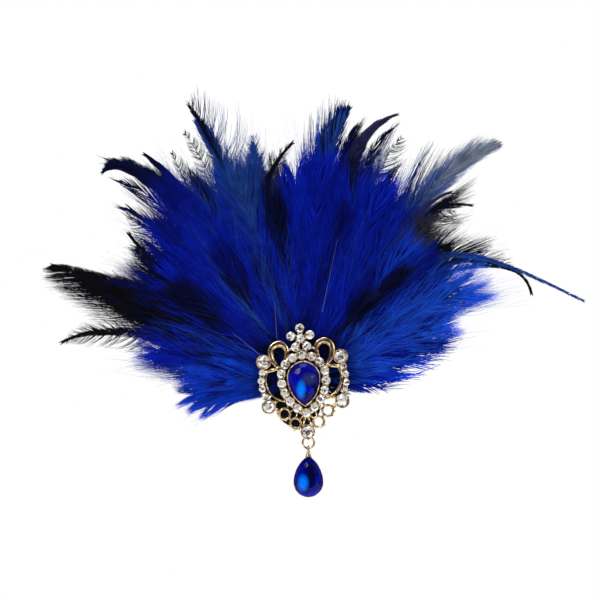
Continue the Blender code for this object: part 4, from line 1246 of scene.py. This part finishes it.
def cut_stone(points):
    """The facets that enclose these points, as places and faces."""
    shape = bmesh.new()
    for point in points:
        shape.verts.new(point)
    bmesh.ops.convex_hull(shape, input=shape.verts)
    loose = [vertex for vertex in shape.verts if not vertex.link_faces]
    bmesh.ops.delete(shape, geom=loose, context="VERTS")
    shape.verts.index_update()
    places = np.array([tuple(vertex.co) for vertex in shape.verts])
    faces = [tuple(vertex.index for vertex in face.verts) for face in shape.faces]
    shape.free()
    return places, faces


def brilliant(diameter, chance):
    """A round brilliant with its girdle at height 0, its table broken by the foil's star."""
    crown = ROUND_CROWN_SHARE * diameter
    rings = ((TABLE_SHARE, crown, 8, 0), (0.80, 0.62 * crown, 8, 0.5), (1.0, GIRDLE / 2, 16, 0),
             (1.0, -GIRDLE / 2, 16, 0))
    points = [(0, 0, crown * 1.10)]
    for share, height, count, start in rings:
        points += ring_points((0, 0), share * diameter / 2, height, count, start).tolist()
    points.append((0, 0, -ROUND_PAVILION_SHARE * diameter))
    places, faces = cut_stone(points)
    tilt = (STONE_TILT * chance.normal(), STONE_TILT * chance.normal(), chance.uniform(0, math.pi))
    turn = Euler(tilt).to_matrix()
    return np.array([turn @ Vector(place) for place in places]), faces


def add_pear(kind, stone, patches, body, place):
    """A cut blue pear that sits on the floor of its setting."""
    outline = Pear(stone.width, stone.length)
    points = [(0, 0, stone.crown * 1.05)]
    points += outline.ring(PEAR_FACETS, stone.crown, 0.56)
    points += outline.ring(PEAR_FACETS, 0.66 * stone.crown, 0.80, 0.5)
    points += outline.ring(2 * PEAR_FACETS, GIRDLE / 2)
    points += outline.ring(2 * PEAR_FACETS, -GIRDLE / 2)
    points += outline.ring(PEAR_FACETS, -0.55 * stone.pavilion, 0.62)
    points += outline.ring(8, -stone.pavilion, 0.10)
    places, faces = cut_stone(points)
    girdle = girdle_height(stone.pavilion)
    shape = Shape()
    shape.add(places + np.array((0, 0, girdle)), faces)
    blue = blue_surface(f"{kind}_blue", patches, place @ Vector((0, 0, girdle + stone.crown)))
    shown(f"{kind}_pear", shape, blue, body, [f"{kind}_stone"], smooth=False, place=place)


def standing(origin, turned):
    """The frame of a flat piece that stands facing the front, turned in its own plane."""
    return Matrix.Translation(origin) @ Euler((math.pi / 2, turned, 0)).to_matrix().to_4x4()


def add_brooch(gold, paste):
    """The casting and its stones. The result is the brooch's frame, from which the drop hangs."""
    place = standing((0, BROOCH_BACK_Y, 0), -BROOCH_LEAN)
    halo = halo_settings()
    settings = halo + crown_settings(halo[0].place[1]) + accent_settings() + side_settings()
    casting = Shape()
    tube(casting, halo_path().ring(BAND_STEPS, BAND_UP), BAND_RADIUS, 10, closed=True, flatness=0.42)
    for setting in settings:
        cup(casting, setting)
    prongs(casting, [item for item in settings if not item.walled])
    bezel(casting, CENTRE_PEAR, CENTRE_BEZEL_WALL, girdle_height(CENTRE_PAVILION) + CUP_RIM)
    for side in (-1, 1):
        scroll(casting, side)
    side_loops(casting, settings)
    lace(casting, halo)
    upright_ring(casting, (0, bail_up(), bail_height()), BAIL_RADIUS, SHOWN_WIRE_RADIUS, (1, 2))
    shown("brooch_casting", casting, gold, "headpiece", ["brooch_frame"], place=place)

    chance = np.random.default_rng(SEED)
    stones = Shape()
    for setting in settings:
        places, faces = brilliant(setting.diameter, chance)
        stones.add(places + np.array((*setting.place, round_girdle(setting.diameter))), faces)
    shown("paste_stones", stones, paste, "headpiece", [item.name for item in settings],
          smooth=False, place=place)
    add_pear("centre", CENTRE_PEAR, CENTRE_PAINTED_PATCHES, "headpiece", place)
    return place


def add_drop(place, gold):
    """The jump ring and the drop, each in its own plane below the bail."""
    reach = 2 * WIRE_RADIUS + LINK_GAP
    ring_pivot = place @ Vector((0, bail_up() - BAIL_RADIUS, bail_height()))
    ring = Shape()
    centre = ring_pivot - Vector((0, 0, RING_RADIUS - reach))
    upright_ring(ring, centre, RING_RADIUS, SHOWN_WIRE_RADIUS, (0, 2))
    shown("ring_wire", ring, gold, "ring", ["jump_ring"])

    drop_pivot = ring_pivot + Vector((0, 0, reach - 2 * RING_RADIUS))
    half = DROP_STONE_LENGTH / 2 + SEAT_GAP + DROP_WALL
    loop_up = reach - DROP_LOOP_RADIUS
    neck_up = loop_up - DROP_LOOP_RADIUS
    middle_up = neck_up - DROP_NECK_LENGTH - half
    rim = girdle_height(DROP_PAVILION)
    balance = 0.5 * (rim + CUP_LIP)
    drop_place = standing(drop_pivot + Vector((0, balance, middle_up)), math.pi)
    setting = Shape()
    bezel(setting, DROP_PEAR, DROP_BEZEL_WALL, rim, milled=False)
    upright_ring(setting, (0, middle_up - loop_up, balance), DROP_LOOP_RADIUS, SHOWN_WIRE_RADIUS, (1, 2))
    neck = [(0, middle_up - neck_up, balance), (0, -half - 0.3 * MM, balance), (0, 1.2 * MM - half, balance)]
    tube(setting, neck, DROP_NECK_RADII, 12)
    bead(setting, neck[0], DROP_NECK_BEAD, 10, 6)
    shown("drop_bezel", setting, gold, "drop", ["drop_setting"], place=drop_place)
    add_pear("drop", DROP_PEAR, DROP_PAINTED_PATCHES, "drop", drop_place)


# Camera, light and stage

def add_light(name, place, size, power):
    data = bpy.data.lights.new(name, "AREA")
    data.size = size
    data.energy = power
    item = new_object(name, data)
    item.location = place
    item.rotation_euler = (Vector(LIGHTS_AIM) - Vector(place)).to_track_quat("-Z", "Y").to_euler()


def add_world():
    """A white studio: pure white behind the object, dimmer round the camera for contrast in metal."""
    world = bpy.data.worlds.new("studio")
    bpy.context.scene.world = world
    world.use_nodes = True
    tree = world.node_tree
    way = node(tree, "TexCoord", "Generated", {})
    back = node(tree, "SeparateXYZ", "Y", {"Vector": way})
    level = node(tree, "MapRange", "Result", {
        "Value": back, "From Min": -0.95, "From Max": 0.1, "To Min": 0.08, "To Max": 0.5})
    seen = node(tree, "LightPath", "Is Camera Ray", {})
    strength = node(tree, "Mix", "Result", {"Factor": seen, "A": level, "B": 1.0})
    fill(tree, tree.nodes["Background"], {"Color": (1.0, 1.0, 1.0, 1.0), "Strength": strength})


def add_floor():
    mesh = bpy.data.meshes.new("floor")
    corners = ((-1, -1), (1, -1), (1, 1), (-1, 1))
    mesh.from_pydata([(across * FLOOR_HALF, deep * FLOOR_HALF, FLOOR_UP) for across, deep in corners],
                     [], [(0, 1, 2, 3)])
    paper, tree, shader = surface("white_paper")
    fill(tree, shader, {"Base Color": (0.95, 0.95, 0.95, 1.0), "Roughness": 0.9,
                        "Emission Color": (1.0, 1.0, 1.0, 1.0), "Emission Strength": 0.5})
    mesh.materials.append(paper)
    item = new_object("floor", mesh)


def add_camera():
    data = bpy.data.cameras.new("camera")
    data.lens = LENS_MM
    data.sensor_width = SENSOR_MM
    data.clip_start = 0.01
    item = new_object("camera", data)
    distance = PICTURE_WIDTH * LENS_MM / SENSOR_MM
    item.location = (CAMERA_ACROSS, HEAD_Y - distance, CAMERA_UP)
    item.rotation_euler = (math.pi / 2, 0, 0)
    bpy.context.scene.camera = item


def main():
    bpy.context.scene.view_settings.view_transform = "Standard"
    gold = gold_surface()
    add_fan(feather_surface())
    felt = felt_surface()
    add_pad(felt)
    add_fuzz(felt)
    place = add_brooch(gold, paste_surface())
    add_drop(place, gold)
    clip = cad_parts["hair_clip"]
    clip.data.materials.clear()
    clip.data.materials.append(steel_surface())
    add_world()
    add_floor()
    for light in LIGHTS:
        add_light(*light)
    add_camera()


main()
